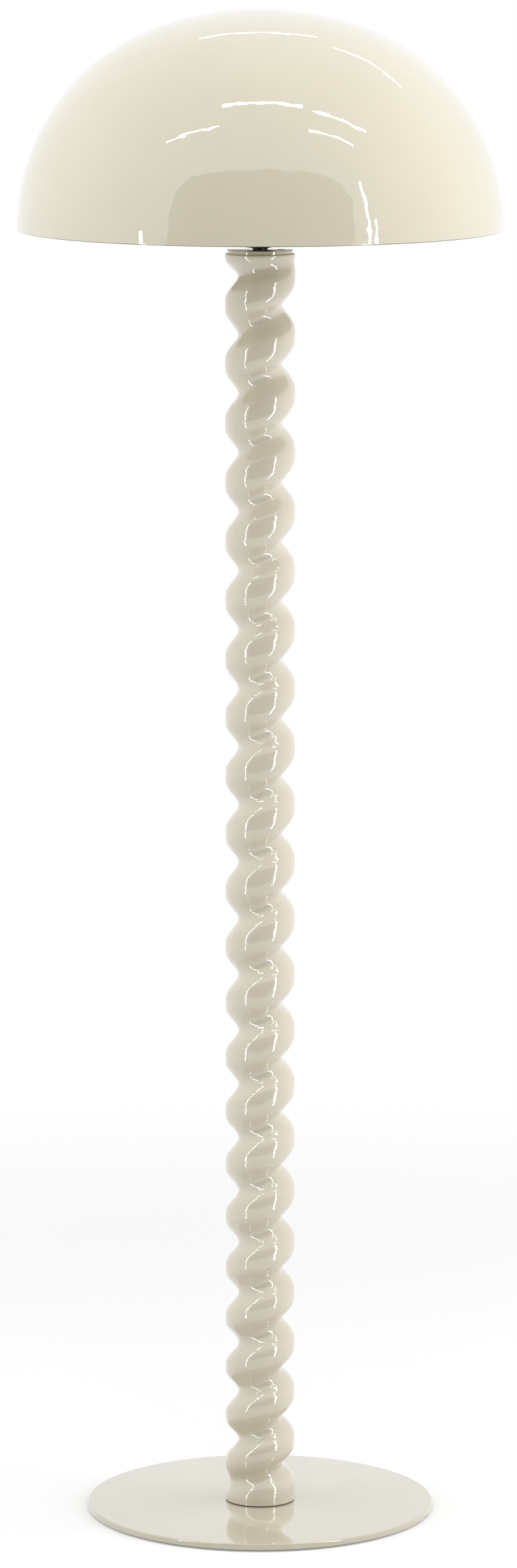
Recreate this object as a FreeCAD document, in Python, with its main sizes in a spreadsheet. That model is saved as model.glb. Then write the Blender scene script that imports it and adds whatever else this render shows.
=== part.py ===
import FreeCAD, Part
import math
import os
import Sketcher
from FreeCAD import Placement, Rotation, Vector

# A floor lamp: a spun metal dome on a barley-twist wooden column over a round steel base.
# Millimetres, +Z up, origin at the centre of the underside, the front towards -Y.

os.makedirs("parts", exist_ok=True)
doc = FreeCAD.newDocument("floor_lamp")

# ---------------------------------------------------------------- driving dimensions

DIMENSIONS = (
    # base
    ("pad_radius", 173),
    ("pad_opening_radius", 55),
    ("pad_thickness", 2),
    ("base_radius", 181.5),
    ("base_thickness", 6),
    ("base_edge_radius", 1.5),
    # column
    ("column_radius", 36.5),
    ("column_length", 1315),
    ("groove_depth", 13.6),
    ("groove_narrowness", 1.7),
    ("pitch_at_foot", 49.9),
    ("pitch_at_middle", 59.9),
    ("pitch_at_top", 59.9),
    ("crest_azimuth_at_foot", 252),
    ("foot_fade", 45),
    ("top_fade", 25),
    ("twist_sides", 16),
    ("twist_steps_per_turn", 12),
    ("wire_bore_radius", 7),
    # fixing of the column on the base
    ("foot_screw_count", 4),
    ("foot_screw_circle_radius", 18),
    ("foot_screw_radius", 2.5),
    ("foot_screw_length", 16),
    ("insert_radius", 3.6),
    ("insert_length", 12),
    # lead inlet at the back of the foot
    ("inlet_height", 14),
    ("inlet_seat_distance", 33.5),
    ("bush_flange_radius", 7.5),
    ("bush_flange_thickness", 2),
    ("bush_body_radius", 4.9),
    ("bush_length", 13.5),
    ("bush_flange_chamfer", 1),
    ("bush_bore_radius", 3.6),
    # plate on top of the column
    ("top_plate_radius", 34),
    ("top_plate_thickness", 4),
    ("top_recess_radius", 12),
    ("top_recess_depth", 12),
    ("top_screw_count", 3),
    ("top_screw_circle_radius", 22),
    ("top_screw_radius", 2),
    ("top_screw_length", 15),
    ("nipple_radius", 5),
    ("nipple_bore_radius", 3.5),
    ("nipple_reach", 10),
    ("locknut_across_flats", 17),
    ("locknut_thickness", 4),
    ("washer_thickness", 1),
    ("washer_radius", 9),
    # lamp holder
    ("holder_neck_radius", 8),
    ("holder_neck_height", 1.5),
    ("holder_bowl_radius", 12.5),
    ("holder_cap_height", 24),
    ("holder_wall", 2),
    ("holder_floor", 2),
    ("sleeve_radius", 19.5),
    ("sleeve_bore_radius", 15.75),
    ("sleeve_flange_height", 3),
    ("sleeve_top", 58),
    ("sleeve_spigot_length", 6),
    ("insert_seat_height", 2),
    ("insert_seat_width", 3.75),
    ("insert_floor", 34),
    ("insert_cup_top", 56),
    ("socket_bore_radius", 13.5),
    ("screw_shell_thickness", 0.5),
    ("screw_shell_length", 20),
    ("terminal_screw_spacing", 16),
    ("terminal_screw_radius", 1.5),
    ("terminal_hole_depth", 5),
    ("terminal_head_radius", 2.7),
    ("terminal_head_height", 2),
    ("terminal_screw_length", 6.5),
    ("contact_tongue_length", 12),
    ("contact_tongue_width", 5),
    ("contact_tongue_thickness", 0.5),
    ("contact_tongue_share_behind", 0.75),
    ("contact_button_radius", 2.5),
    ("contact_button_height", 1),
    # rings that clamp the shade
    ("shade_ring_radius", 27),
    ("shade_ring_bore_radius", 19.6),
    ("lower_ring_height", 6),
    ("upper_ring_height", 7),
    ("ring_chamfer", 1),
    ("turning_gap", 0.15),
    # shade
    ("rim_height", 1347.5),
    ("shade_radius", 250),
    ("shade_crown_radius", 320),
    ("shade_crown_angle", 17.5),
    ("shade_wall", 1.2),
    ("shade_hem_height", 6),
    ("spider_ring_radius", 31),
    ("spider_ring_bore_radius", 20),
    ("spider_ring_thickness", 2),
    ("spider_arm_count", 3),
    ("spider_arm_radius", 2),
    ("spider_arm_sink", 0.1),
    ("spider_arm_gap", 0.6),
    ("spider_tab_width", 14),
    ("spider_tab_height", 20),
    ("spider_tab_thickness", 1.2),
    ("spider_tab_sag", 0.2),
    # bulb
    ("bulb_radius", 30),
    ("bulb_neck_radius", 12.4),
    ("bulb_flare_angle", 36.87),
    ("bulb_glass_wall", 1),
    ("bulb_cap_radius", 13),
    ("bulb_cap_length", 18),
    ("bulb_cap_lip", 3),
    ("bulb_cap_chamfer", 1),
    ("bulb_contact_radius", 4.5),
    ("bulb_contact_height", 1.2),
    ("bulb_contact_chamfer", 1),
    ("bulb_insulator_radius", 11),
    ("bulb_insulator_height", 2.8),
    ("bulb_insulator_step", 0.5),
    # fits and cutters
    ("fit_clearance", 0.05),
    ("slip_clearance", 0.1),
    ("shell_clearance", 0.15),
    ("screw_hole_clearance", 0.2),
    ("seat_clearance", 0.25),
    ("cutter_overlap", 1),
)

sheet = doc.addObject("Spreadsheet::Sheet", "dims")
for row, (alias, number) in enumerate(DIMENSIONS, start=1):
    sheet.set(f"A{row}", alias)
    sheet.set(f"B{row}", str(number))
    sheet.setAlias(f"B{row}", alias)
doc.recompute()

# Levels above the floor, as expressions of the sheet.
FOOT_LEVEL = "(dims.pad_thickness + dims.base_thickness)"
TOP_PLATE_LEVEL = f"({FOOT_LEVEL} + dims.column_length)"
HOLDER_LEVEL = f"({TOP_PLATE_LEVEL} + dims.top_plate_thickness)"
LOWER_RING_LEVEL = f"({HOLDER_LEVEL} + dims.holder_cap_height + dims.sleeve_flange_height)"
SPIDER_LEVEL = f"({LOWER_RING_LEVEL} + dims.lower_ring_height + dims.turning_gap)"
UPPER_RING_LEVEL = f"({SPIDER_LEVEL} + dims.spider_ring_thickness + dims.turning_gap)"
ARM_LEVEL = f"({SPIDER_LEVEL} + dims.spider_ring_thickness + dims.spider_arm_radius - dims.spider_arm_sink)"
BULB_GAP = "(dims.contact_button_height + 2 * dims.turning_gap)"
BULB_LEVEL = f"({HOLDER_LEVEL} + dims.insert_floor + {BULB_GAP})"

nodes = []


def value(expression):
    """Number that an expression of the sheet gives."""
    return float(sheet.evalExpression(str(expression)))


def keep(piece, name):
    """Names an object as a finished sub-part."""
    piece.Label = name
    nodes.append(piece)
    return piece


def raise_to(piece, level):
    """Puts a piece made from z = 0 at its level."""
    piece.setExpression("Placement.Base.z", level)


# ---------------------------------------------------------------- sketches

def origin_feature(body, role):
    return next(item for item in body.Origin.OriginFeatures if item.Role == role)


def new_sketch(body, name, role):
    sketch = body.newObject("Sketcher::SketchObject", name)
    sketch.AttachmentSupport = (origin_feature(body, role), [""])
    sketch.MapMode = "FlatFace"
    return sketch


def arc_between(start, end, radius, left_turn):
    """Minor arc from start to end; left_turn is true where it bends anticlockwise."""
    chord = end - start
    half = chord.Length / 2
    middle = start + chord * 0.5
    normal = Vector(-chord.y, chord.x, 0).normalize()
    side = 1 if left_turn else -1
    centre = middle + normal * (side * math.sqrt(radius * radius - half * half))
    first, last = (start, end) if left_turn else (end, start)
    first_angle = math.atan2(first.y - centre.y, first.x - centre.x)
    last_angle = math.atan2(last.y - centre.y, last.x - centre.x)
    if last_angle < first_angle:
        last_angle += 2 * math.pi
    circle = Part.Circle(centre, Vector(0, 0, 1), radius)
    return Part.ArcOfCircle(circle, first_angle, last_angle)


def pin_corner(sketch, edge, point, across, up):
    """Holds a corner of an outline at two distances from the origin."""
    for kind, axis, expression in (("DistanceX", -2, across), ("DistanceY", -1, up)):
        if expression == "0":
            sketch.addConstraint(Sketcher.Constraint("PointOnObject", edge, point, axis))
            continue
        rule = Sketcher.Constraint(kind, -1, 1, edge, point, value(expression))
        number = sketch.addConstraint(rule)
        sketch.setExpression(f"Constraints[{number}]", expression)


def draw_outline(sketch, corners):
    """Closed outline; a corner is (across, up) or (across, up, arc radius, left turn).

    The arc runs from its corner to the next one.
    """
    count = len(corners)
    places = [Vector(value(corner[0]), value(corner[1]), 0) for corner in corners]
    first_points = []
    last_points = []
    for edge, corner in enumerate(corners):
        start = places[edge]
        end = places[(edge + 1) % count]
        if len(corner) == 2:
            sketch.addGeometry(Part.LineSegment(start, end), False)
            turned_back = False
        else:
            arc = arc_between(start, end, value(corner[2]), corner[3])
            sketch.addGeometry(arc, False)
            turned_back = not corner[3]
        first_points.append(2 if turned_back else 1)
        last_points.append(1 if turned_back else 2)
    for edge in range(count):
        after = (edge + 1) % count
        rule = Sketcher.Constraint("Coincident", edge, last_points[edge], after, first_points[after])
        sketch.addConstraint(rule)
    for edge, corner in enumerate(corners):
        pin_corner(sketch, edge, first_points[edge], corner[0], corner[1])
        if len(corner) == 4:
            rule = Sketcher.Constraint("Radius", edge, value(corner[2]))
            number = sketch.addConstraint(rule)
            sketch.setExpression(f"Constraints[{number}]", corner[2])


def draw_circle(sketch, across, up, radius):
    circle = Part.Circle(Vector(value(across), value(up), 0), Vector(0, 0, 1), value(radius))
    edge = sketch.addGeometry(circle, False)
    pin_corner(sketch, edge, 3, across, up)
    number = sketch.addConstraint(Sketcher.Constraint("Radius", edge, value(radius)))
    sketch.setExpression(f"Constraints[{number}]", radius)


# ---------------------------------------------------------------- common kinds of body

def new_body(name):
    return doc.addObject("PartDesign::Body", name)


def turned_body(name, corners):
    """Body turned about its own Z axis from an outline of (radius, height) corners."""
    body = new_body(name)
    sketch = new_sketch(body, f"{name}_profile", "XZ_Plane")
    draw_outline(sketch, corners)
    revolution = body.newObject("PartDesign::Revolution", f"{name}_turned")
    revolution.Profile = sketch
    revolution.ReferenceAxis = (sketch, ["V_Axis"])
    revolution.Angle = 360
    doc.recompute()
    return body


def turned_about(name, distance, corners):
    """Body turned about a vertical line that stands at a distance from the Z axis."""
    body = new_body(name)
    sketch = new_sketch(body, f"{name}_profile", "XZ_Plane")
    draw_outline(sketch, corners)
    foot = Vector(value(distance), 0, 0)
    line = sketch.addGeometry(Part.LineSegment(foot, foot + Vector(0, 1, 0)), True)
    pin_corner(sketch, line, 1, distance, "0")
    sketch.addConstraint(Sketcher.Constraint("Vertical", line))
    sketch.addConstraint(Sketcher.Constraint("Distance", line, 1))
    revolution = body.newObject("PartDesign::Revolution", f"{name}_turned")
    revolution.Profile = sketch
    revolution.ReferenceAxis = (sketch, ["Axis0"])
    revolution.Angle = 360
    doc.recompute()
    return body


def around(body, feature, count):
    """Repeats a feature evenly about the body's Z axis."""
    pattern = body.newObject("PartDesign::PolarPattern", f"{body.Name}_pattern")
    pattern.Originals = [feature]
    pattern.Axis = (origin_feature(body, "Z_Axis"), [""])
    pattern.Angle = 360
    pattern.setExpression("Occurrences", count)
    body.Tip = pattern
    doc.recompute()


def ring_body(name, bore, radius, height):
    return turned_body(name, [(bore, "0"), (radius, "0"), (radius, height), (bore, height)])


def disc_pad(body, radius, thickness):
    """Round plate that the rest of the body is cut from."""
    sketch = new_sketch(body, f"{body.Name}_disc", "XY_Plane")
    draw_circle(sketch, "0", "0", radius)
    pad = body.newObject("PartDesign::Pad", f"{body.Name}_plate")
    pad.Profile = sketch
    pad.setExpression("Length", thickness)
    doc.recompute()
    return pad


def countersunk_holes(body, distance, radius, head_radius, count, from_below):
    """Countersunk clearance holes on a circle through the body's plate."""
    thickness = body.Shape.BoundBox.ZMax
    before = body.Shape.Volume
    sketch = new_sketch(body, f"{body.Name}_hole_centre", "XY_Plane")
    if not from_below:
        sketch.AttachmentOffset = Placement(Vector(0, 0, thickness), Rotation())
    draw_circle(sketch, distance, "0", radius)
    doc.recompute()
    hole = body.newObject("PartDesign::Hole", f"{body.Name}_hole")
    hole.Profile = sketch
    doc.recompute()
    hole.DepthType = "ThroughAll"
    hole.Reversed = from_below
    hole.setExpression("Diameter", f"2 * {radius}")
    hole.HoleCutType = "Countersink"
    hole.HoleCutCountersinkAngle = 90
    hole.setExpression("HoleCutDiameter", f"2 * {head_radius}")
    doc.recompute()
    around(body, hole, count)
    if body.Shape.Volume > before - 1:
        raise RuntimeError(f"{body.Name}: the holes cut nothing")


def countersunk_screws(name, distance, radius, length, count):
    """Group of equal countersunk screws, heads down, points up."""
    head_radius = f"(2 * {radius})"
    head_height = f"({head_radius} - {radius})"
    out = f"({distance} + {radius})"
    body = turned_about(name, distance, [
        (distance, "0"),
        (f"({distance} + {head_radius})", "0"),
        (out, head_height),
        (out, f"({length} - {radius})"),
        (distance, length),
    ])
    around(body, body.Tip, count)
    return body


# ---------------------------------------------------------------- base

def make_floor_pad():
    pad = ring_body("pad_body", "dims.pad_opening_radius", "dims.pad_radius", "dims.pad_thickness")
    return keep(pad, "floor_pad")


def make_base_plate():
    body = new_body("plate_body")
    pad = disc_pad(body, "dims.base_radius", "dims.base_thickness")
    top = value("dims.base_thickness")
    edges = [
        f"Edge{number}"
        for number, edge in enumerate(pad.Shape.Edges, start=1)
        if edge.Curve.TypeId == "Part::GeomCircle" and abs(edge.BoundBox.ZMin - top) < 0.001
    ]
    fillet = body.newObject("PartDesign::Fillet", "plate_edge")
    fillet.Base = (pad, edges)
    fillet.setExpression("Radius", "dims.base_edge_radius")
    doc.recompute()
    countersunk_holes(
        body,
        "dims.foot_screw_circle_radius",
        "(dims.foot_screw_radius + dims.screw_hole_clearance)",
        "(2 * dims.foot_screw_radius + dims.screw_hole_clearance)",
        "dims.foot_screw_count",
        True,
    )
    raise_to(body, "dims.pad_thickness")
    return keep(body, "base_plate")


def make_column_screws():
    screws = countersunk_screws(
        "foot_screw_body",
        "dims.foot_screw_circle_radius",
        "dims.foot_screw_radius",
        "dims.foot_screw_length",
        "dims.foot_screw_count",
    )
    raise_to(screws, "dims.pad_thickness")
    return keep(screws, "column_screws")


def make_column_inserts():
    distance = "dims.foot_screw_circle_radius"
    inner = f"({distance} + dims.foot_screw_radius + dims.fit_clearance)"
    outer = f"({distance} + dims.insert_radius)"
    length = "dims.insert_length"
    body = turned_about("insert_body", distance, [
        (inner, "0"), (outer, "0"), (outer, length), (inner, length),
    ])
    around(body, body.Tip, "dims.foot_screw_count")
    raise_to(body, FOOT_LEVEL)
    return keep(body, "column_inserts")


# ---------------------------------------------------------------- twisted column

def smooth_step(share):
    share = max(0.0, min(1.0, share))
    return share * share * (3 - 2 * share)


def turns_above_foot(height):
    """Turns of the twist up to a height: its pitch eases through three stated values."""
    length = value("dims.column_length")
    share = height / length
    foot, middle, top = (1 / value(f"dims.pitch_at_{place}") for place in ("foot", "middle", "top"))
    slope = 4 * middle - 3 * foot - top
    bend = 2 * (foot + top) - 4 * middle
    return length * share * (foot + share * (slope / 2 + share * bend / 3))


def twist_ring(height, sides):
    """Cross-section of the column: a circle with one hollow that turns as it climbs."""
    length = value("dims.column_length")
    radius = value("dims.column_radius")
    foot_share = height / value("dims.foot_fade")
    top_share = (length - height) / value("dims.top_fade")
    depth = value("dims.groove_depth") * smooth_step(foot_share) * smooth_step(top_share)
    crest = math.radians(value("dims.crest_azimuth_at_foot")) + 2 * math.pi * turns_above_foot(height)
    narrowness = value("dims.groove_narrowness")
    ring = []
    for side in range(sides):
        azimuth = 2 * math.pi * side / sides
        hollow = ((1 - math.cos(azimuth - crest)) / 2) ** narrowness
        reach = radius - depth * hollow
        ring.append(Vector(reach * math.cos(azimuth), reach * math.sin(azimuth), height))
    return ring


def smooth_curve(points, parameters, closed):
    """Cubic curve through the points, at stated parameters."""
    curve = Part.BSplineCurve()
    curve.interpolate(Points=points, PeriodicFlag=closed, Parameters=parameters)
    return curve


def twisted_surface():
    """Barley twist: one smooth surface through rings of the column."""
    sides = int(value("dims.twist_sides"))
    length = value("dims.column_length")
    steps = round(turns_above_foot(length) * value("dims.twist_steps_per_turn"))
    heights = [length * step / steps for step in range(steps + 1)]
    shares = [side / sides for side in range(sides + 1)]
    rings = [smooth_curve(twist_ring(height, sides), shares, True) for height in heights]
    staves = [
        smooth_curve(list(stave), heights, False)
        for stave in zip(*(ring.getPoles() for ring in rings))
    ]
    surface = Part.BSplineSurface()
    surface.buildFromPolesMultsKnots(
        [stave.getPoles() for stave in staves],
        rings[0].getMultiplicities(),
        staves[0].getMultiplicities(),
        rings[0].getKnots(),
        staves[0].getKnots(),
        True,
        False,
        3,
        3,
    )
    return surface


def closed_edge(face, level):
    """The face's round edge at a level."""
    return next(
        edge
        for edge in face.Edges
        if edge.isClosed() and abs(edge.Vertexes[0].Z - level) < 0.001
    )


def twisted_solid():
    """Column blank: a patch of the twisted surface for each turn, closed at both ends."""
    length = value("dims.column_length")
    patches = round(turns_above_foot(length))
    levels = [length * patch / patches for patch in range(patches + 1)]
    surface = twisted_surface()
    first_side, last_side, _, _ = surface.bounds()
    faces = []
    for low, high in zip(levels, levels[1:]):
        patch = surface.copy()
        patch.segment(first_side, last_side, low, high)
        faces.append(patch.toShape())
    ends = [closed_edge(faces[0], 0), closed_edge(faces[-1], length)]
    shell = Part.Shell(faces + [Part.Face(Part.Wire([edge])) for edge in ends])
    shell.sewShape()
    return Part.Solid(shell)


def drill(name, radius, height):
    """Cylinder that a hole is cut with."""
    tool = doc.addObject("Part::Cylinder", name)
    tool.setExpression("Radius", radius)
    tool.setExpression("Height", height)
    return tool


def make_column():
    blank = doc.addObject("Part::Feature", "twisted_blank")
    blank.Shape = twisted_solid()
    tools = []
    bore = drill("wire_bore", "dims.wire_bore_radius", "dims.column_length + 2 * dims.cutter_overlap")
    bore.setExpression("Placement.Base.z", "-dims.cutter_overlap")
    tools.append(bore)
    recess = drill("top_recess", "dims.top_recess_radius", "dims.top_recess_depth + dims.cutter_overlap")
    recess.setExpression("Placement.Base.z", "dims.column_length - dims.top_recess_depth")
    tools.append(recess)
    inlet = drill("inlet_hole", "dims.bush_body_radius + dims.slip_clearance", "dims.column_radius")
    seat = drill("inlet_seat", "dims.bush_flange_radius + dims.seat_clearance", "dims.column_radius")
    seat.setExpression("Placement.Base.y", "dims.inlet_seat_distance")
    for tool in (inlet, seat):
        tool.Placement.Rotation = Rotation(Vector(1, 0, 0), -90)
        tool.setExpression("Placement.Base.z", "dims.inlet_height")
        tools.append(tool)
    tools += drills_around(
        "insert_hole",
        "dims.foot_screw_count",
        "dims.foot_screw_circle_radius",
        "dims.insert_radius + dims.fit_clearance",
        "dims.insert_length + dims.cutter_overlap",
        "-dims.cutter_overlap",
    )
    tools += drills_around(
        "insert_clearance",
        "dims.foot_screw_count",
        "dims.foot_screw_circle_radius",
        "dims.foot_screw_radius + dims.screw_hole_clearance",
        "dims.insert_length + 2 * dims.cutter_overlap",
        "0",
    )
    tools += drills_around(
        "top_pilot_hole",
        "dims.top_screw_count",
        "dims.top_screw_circle_radius",
        "dims.top_screw_radius + dims.fit_clearance",
        "dims.top_screw_length",
        "dims.column_length + dims.top_plate_thickness - dims.top_screw_length - dims.cutter_overlap",
    )
    all_tools = doc.addObject("Part::MultiFuse", "column_tools")
    all_tools.Shapes = tools
    column = doc.addObject("Part::Cut", "column_cut")
    column.Base = blank
    column.Tool = all_tools
    raise_to(column, FOOT_LEVEL)
    return keep(column, "column")


def drills_around(name, count, distance, radius, height, level):
    """Equal vertical drills on a circle."""
    tools = []
    total = int(value(count))
    for number in range(total):
        tool = drill(f"{name}_{number}", radius, height)
        angle = 360 * number / total
        tool.setExpression("Placement.Base.x", f"({distance}) * cos({angle})")
        tool.setExpression("Placement.Base.y", f"({distance}) * sin({angle})")
        tool.setExpression("Placement.Base.z", level)
        tools.append(tool)
    return tools


def make_cable_bush():
    """Flanged bush of the lead inlet: turned upright, then laid along +Y in the seat."""
    bore = "dims.bush_bore_radius"
    body_end = "(dims.bush_length - dims.bush_flange_thickness)"
    bush = turned_body("bush_body", [
        (bore, "0"),
        ("dims.bush_body_radius", "0"),
        ("dims.bush_body_radius", body_end),
        ("dims.bush_flange_radius", body_end),
        ("dims.bush_flange_radius", "(dims.bush_length - dims.bush_flange_chamfer)"),
        ("(dims.bush_flange_radius - dims.bush_flange_chamfer)", "dims.bush_length"),
        (bore, "dims.bush_length"),
    ])
    bush.Placement.Rotation = Rotation(Vector(1, 0, 0), -90)
    bush.setExpression("Placement.Base.y", f"dims.inlet_seat_distance - {body_end}")
    raise_to(bush, f"{FOOT_LEVEL} + dims.inlet_height")
    return keep(bush, "cable_bush")


# ---------------------------------------------------------------- top of the column

def make_top_plate():
    body = new_body("top_plate_body")
    disc_pad(body, "dims.top_plate_radius", "dims.top_plate_thickness")
    before = body.Shape.Volume
    sketch = new_sketch(body, "nipple_hole", "XY_Plane")
    draw_circle(sketch, "0", "0", "(dims.nipple_radius + dims.fit_clearance)")
    pocket = body.newObject("PartDesign::Pocket", "nipple_pocket")
    pocket.Profile = sketch
    pocket.Type = "ThroughAll"
    pocket.Reversed = True
    doc.recompute()
    if body.Shape.Volume > before - 1:
        raise RuntimeError("the nipple hole cuts nothing")
    countersunk_holes(
        body,
        "dims.top_screw_circle_radius",
        "(dims.top_screw_radius + dims.screw_hole_clearance)",
        "(2 * dims.top_screw_radius + dims.screw_hole_clearance)",
        "dims.top_screw_count",
        False,
    )
    raise_to(body, TOP_PLATE_LEVEL)
    return keep(body, "top_plate")


def make_top_plate_screws():
    screws = countersunk_screws(
        "top_screw_body",
        "dims.top_screw_circle_radius",
        "dims.top_screw_radius",
        "dims.top_screw_length",
        "dims.top_screw_count",
    )
    screws.Placement.Rotation = Rotation(Vector(1, 0, 0), 180)
    raise_to(screws, HOLDER_LEVEL)
    return keep(screws, "top_plate_screws")


def make_holder_nipple():
    length = "(dims.top_recess_depth + dims.top_plate_thickness + dims.nipple_reach)"
    nipple = ring_body("nipple_body", "dims.nipple_bore_radius", "dims.nipple_radius", length)
    raise_to(nipple, f"{TOP_PLATE_LEVEL} - dims.top_recess_depth")
    return keep(nipple, "holder_nipple")


def make_lock_washer():
    bore = "(dims.nipple_radius + dims.fit_clearance)"
    washer = ring_body("washer_body", bore, "dims.washer_radius", "dims.washer_thickness")
    raise_to(washer, f"{TOP_PLATE_LEVEL} - dims.washer_thickness")
    return keep(washer, "lock_washer")


def make_nipple_locknut():
    nut = doc.addObject("Part::Prism", "locknut_blank")
    nut.Polygon = 6
    nut.setExpression("Circumradius", "dims.locknut_across_flats / 2 / cos(30)")
    nut.setExpression("Height", "dims.locknut_thickness")
    depth = "dims.locknut_thickness + 2 * dims.cutter_overlap"
    hole = drill("locknut_hole", "dims.nipple_radius + dims.fit_clearance", depth)
    hole.setExpression("Placement.Base.z", "-dims.cutter_overlap")
    cut = doc.addObject("Part::Cut", "locknut_cut")
    cut.Base = nut
    cut.Tool = hole
    raise_to(cut, f"{TOP_PLATE_LEVEL} - dims.washer_thickness - dims.locknut_thickness")
    return keep(cut, "nipple_locknut")


# ---------------------------------------------------------------- lamp holder

def make_holder_cap():
    """Bowl-shaped foot of the lamp holder, on its threaded nipple."""
    thread = "(dims.nipple_radius + dims.fit_clearance)"
    outer = "(dims.holder_neck_radius + dims.holder_bowl_radius)"
    inner = f"({outer} - dims.holder_wall)"
    bowl_top = "(dims.holder_neck_height + dims.holder_bowl_radius)"
    cavity_floor = "(dims.nipple_reach + dims.holder_floor)"
    cap = turned_body("holder_cap_body", [
        (thread, "0"),
        ("dims.holder_neck_radius", "0"),
        ("dims.holder_neck_radius", "dims.holder_neck_height", "dims.holder_bowl_radius", True),
        (outer, bowl_top),
        (outer, "dims.holder_cap_height"),
        (inner, "dims.holder_cap_height"),
        (inner, cavity_floor),
        (thread, cavity_floor),
    ])
    raise_to(cap, HOLDER_LEVEL)
    return keep(cap, "holder_cap")


def make_holder_sleeve():
    """Threaded sleeve: its spigot stands in the cap and its flange on the cap's edge."""
    flange = "(dims.holder_neck_radius + dims.holder_bowl_radius)"
    spigot = f"({flange} - dims.holder_wall - dims.slip_clearance)"
    ledge = "(dims.sleeve_bore_radius - dims.insert_seat_width)"
    seat = "(dims.holder_cap_height + dims.insert_seat_height)"
    spigot_foot = "(dims.holder_cap_height - dims.sleeve_spigot_length)"
    flange_top = "(dims.holder_cap_height + dims.sleeve_flange_height)"
    sleeve = turned_body("sleeve_body", [
        (ledge, spigot_foot),
        (spigot, spigot_foot),
        (spigot, "dims.holder_cap_height"),
        (flange, "dims.holder_cap_height"),
        (flange, flange_top),
        ("dims.sleeve_radius", flange_top),
        ("dims.sleeve_radius", "dims.sleeve_top"),
        ("dims.sleeve_bore_radius", "dims.sleeve_top"),
        ("dims.sleeve_bore_radius", seat),
        (ledge, seat),
    ])
    raise_to(sleeve, HOLDER_LEVEL)
    return keep(sleeve, "holder_sleeve")


def make_holder_insert():
    """Ceramic cup that carries the contacts."""
    outer = "(dims.sleeve_bore_radius - dims.slip_clearance)"
    inner = "(dims.socket_bore_radius + dims.screw_shell_thickness + dims.shell_clearance)"
    seat = "(dims.holder_cap_height + dims.insert_seat_height)"
    body = turned_body("holder_insert_body", [
        ("0", seat),
        (outer, seat),
        (outer, "dims.insert_cup_top"),
        (inner, "dims.insert_cup_top"),
        (inner, "dims.insert_floor"),
        ("0", "dims.insert_floor"),
    ])
    before = body.Shape.Volume
    sketch = new_sketch(body, "terminal_hole", "XY_Plane")
    radius = "(dims.terminal_screw_radius + dims.fit_clearance)"
    draw_circle(sketch, "(dims.terminal_screw_spacing / 2)", "0", radius)
    pocket = body.newObject("PartDesign::Pocket", "terminal_pocket")
    pocket.Profile = sketch
    pocket.Type = "Length"
    pocket.Reversed = True
    pocket.setExpression("Length", f"{seat} + dims.terminal_hole_depth")
    doc.recompute()
    around(body, pocket, "2")
    if body.Shape.Volume > before - 1:
        raise RuntimeError("the terminal holes cut nothing")
    raise_to(body, HOLDER_LEVEL)
    return keep(body, "holder_insert")


def make_terminal_screws():
    """Two terminal screws in the underside of the insert, heads down."""
    middle = "(dims.terminal_screw_spacing / 2)"
    shank = f"({middle} + dims.terminal_screw_radius)"
    head = f"({middle} + dims.terminal_head_radius)"
    body = turned_about("terminal_screw_body", middle, [
        (middle, "0"),
        (head, "0"),
        (head, "dims.terminal_head_height"),
        (shank, "dims.terminal_head_height"),
        (shank, "dims.terminal_screw_length"),
        (middle, "dims.terminal_screw_length"),
    ])
    around(body, body.Tip, "2")
    raise_to(body, f"{HOLDER_LEVEL} + dims.holder_cap_height")
    return keep(body, "terminal_screws")


def make_screw_shell():
    bore = "dims.socket_bore_radius"
    outer = "(dims.socket_bore_radius + dims.screw_shell_thickness)"
    shell = ring_body("screw_shell_body", bore, outer, "dims.screw_shell_length")
    raise_to(shell, f"{HOLDER_LEVEL} + dims.insert_floor")
    return keep(shell, "screw_shell")


def make_centre_contact():
    """Contact tongue on the floor of the insert, with a raised button."""
    tongue = doc.addObject("Part::Box", "contact_tongue")
    tongue.setExpression("Length", "dims.contact_tongue_length")
    tongue.setExpression("Width", "dims.contact_tongue_width")
    tongue.setExpression("Height", "dims.contact_tongue_thickness")
    tongue.setExpression("Placement.Base.x", "-dims.contact_tongue_share_behind * dims.contact_tongue_length")
    tongue.setExpression("Placement.Base.y", "-dims.contact_tongue_width / 2")
    button = doc.addObject("Part::Cone", "contact_button")
    button.setExpression("Radius1", "dims.contact_button_radius")
    button.setExpression("Radius2", "dims.contact_button_radius - dims.contact_button_height")
    button.setExpression("Height", "dims.contact_button_height")
    contact = doc.addObject("Part::Fuse", "contact_fuse")
    contact.Base = tongue
    contact.Tool = button
    raise_to(contact, f"{HOLDER_LEVEL} + dims.insert_floor")
    return keep(contact, "centre_contact")


# ---------------------------------------------------------------- shade

def make_shade_rings():
    """The two threaded rings that the shade is clamped between."""
    for name, height, level in (
        ("lower_shade_ring", "dims.lower_ring_height", LOWER_RING_LEVEL),
        ("upper_shade_ring", "dims.upper_ring_height", UPPER_RING_LEVEL),
    ):
        chamfered = "(dims.shade_ring_radius - dims.ring_chamfer)"
        ring = turned_body(f"{name}_body", [
            ("dims.shade_ring_bore_radius", "0"),
            (chamfered, "0"),
            ("dims.shade_ring_radius", "dims.ring_chamfer"),
            ("dims.shade_ring_radius", f"({height} - dims.ring_chamfer)"),
            (chamfered, height),
            ("dims.shade_ring_bore_radius", height),
        ])
        raise_to(ring, level)
        keep(ring, name)


CROWN = "dims.shade_crown_radius"
ANGLE = "dims.shade_crown_angle"
SIDE = f"((dims.shade_radius - {CROWN} * sin({ANGLE})) / (1 - sin({ANGLE})))"
SIDE_CENTRE = f"(dims.shade_radius - {SIDE})"
SHADE_HEIGHT = f"({CROWN} * (1 - cos({ANGLE})) + {SIDE} * cos({ANGLE}))"


def inner_reach(height):
    """Radius of the shade's inner wall at a height above its rim."""
    inner_side = f"({SIDE} - dims.shade_wall)"
    return f"({SIDE_CENTRE} + sqrt({inner_side} ^ 2 - ({height}) ^ 2))"


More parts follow.
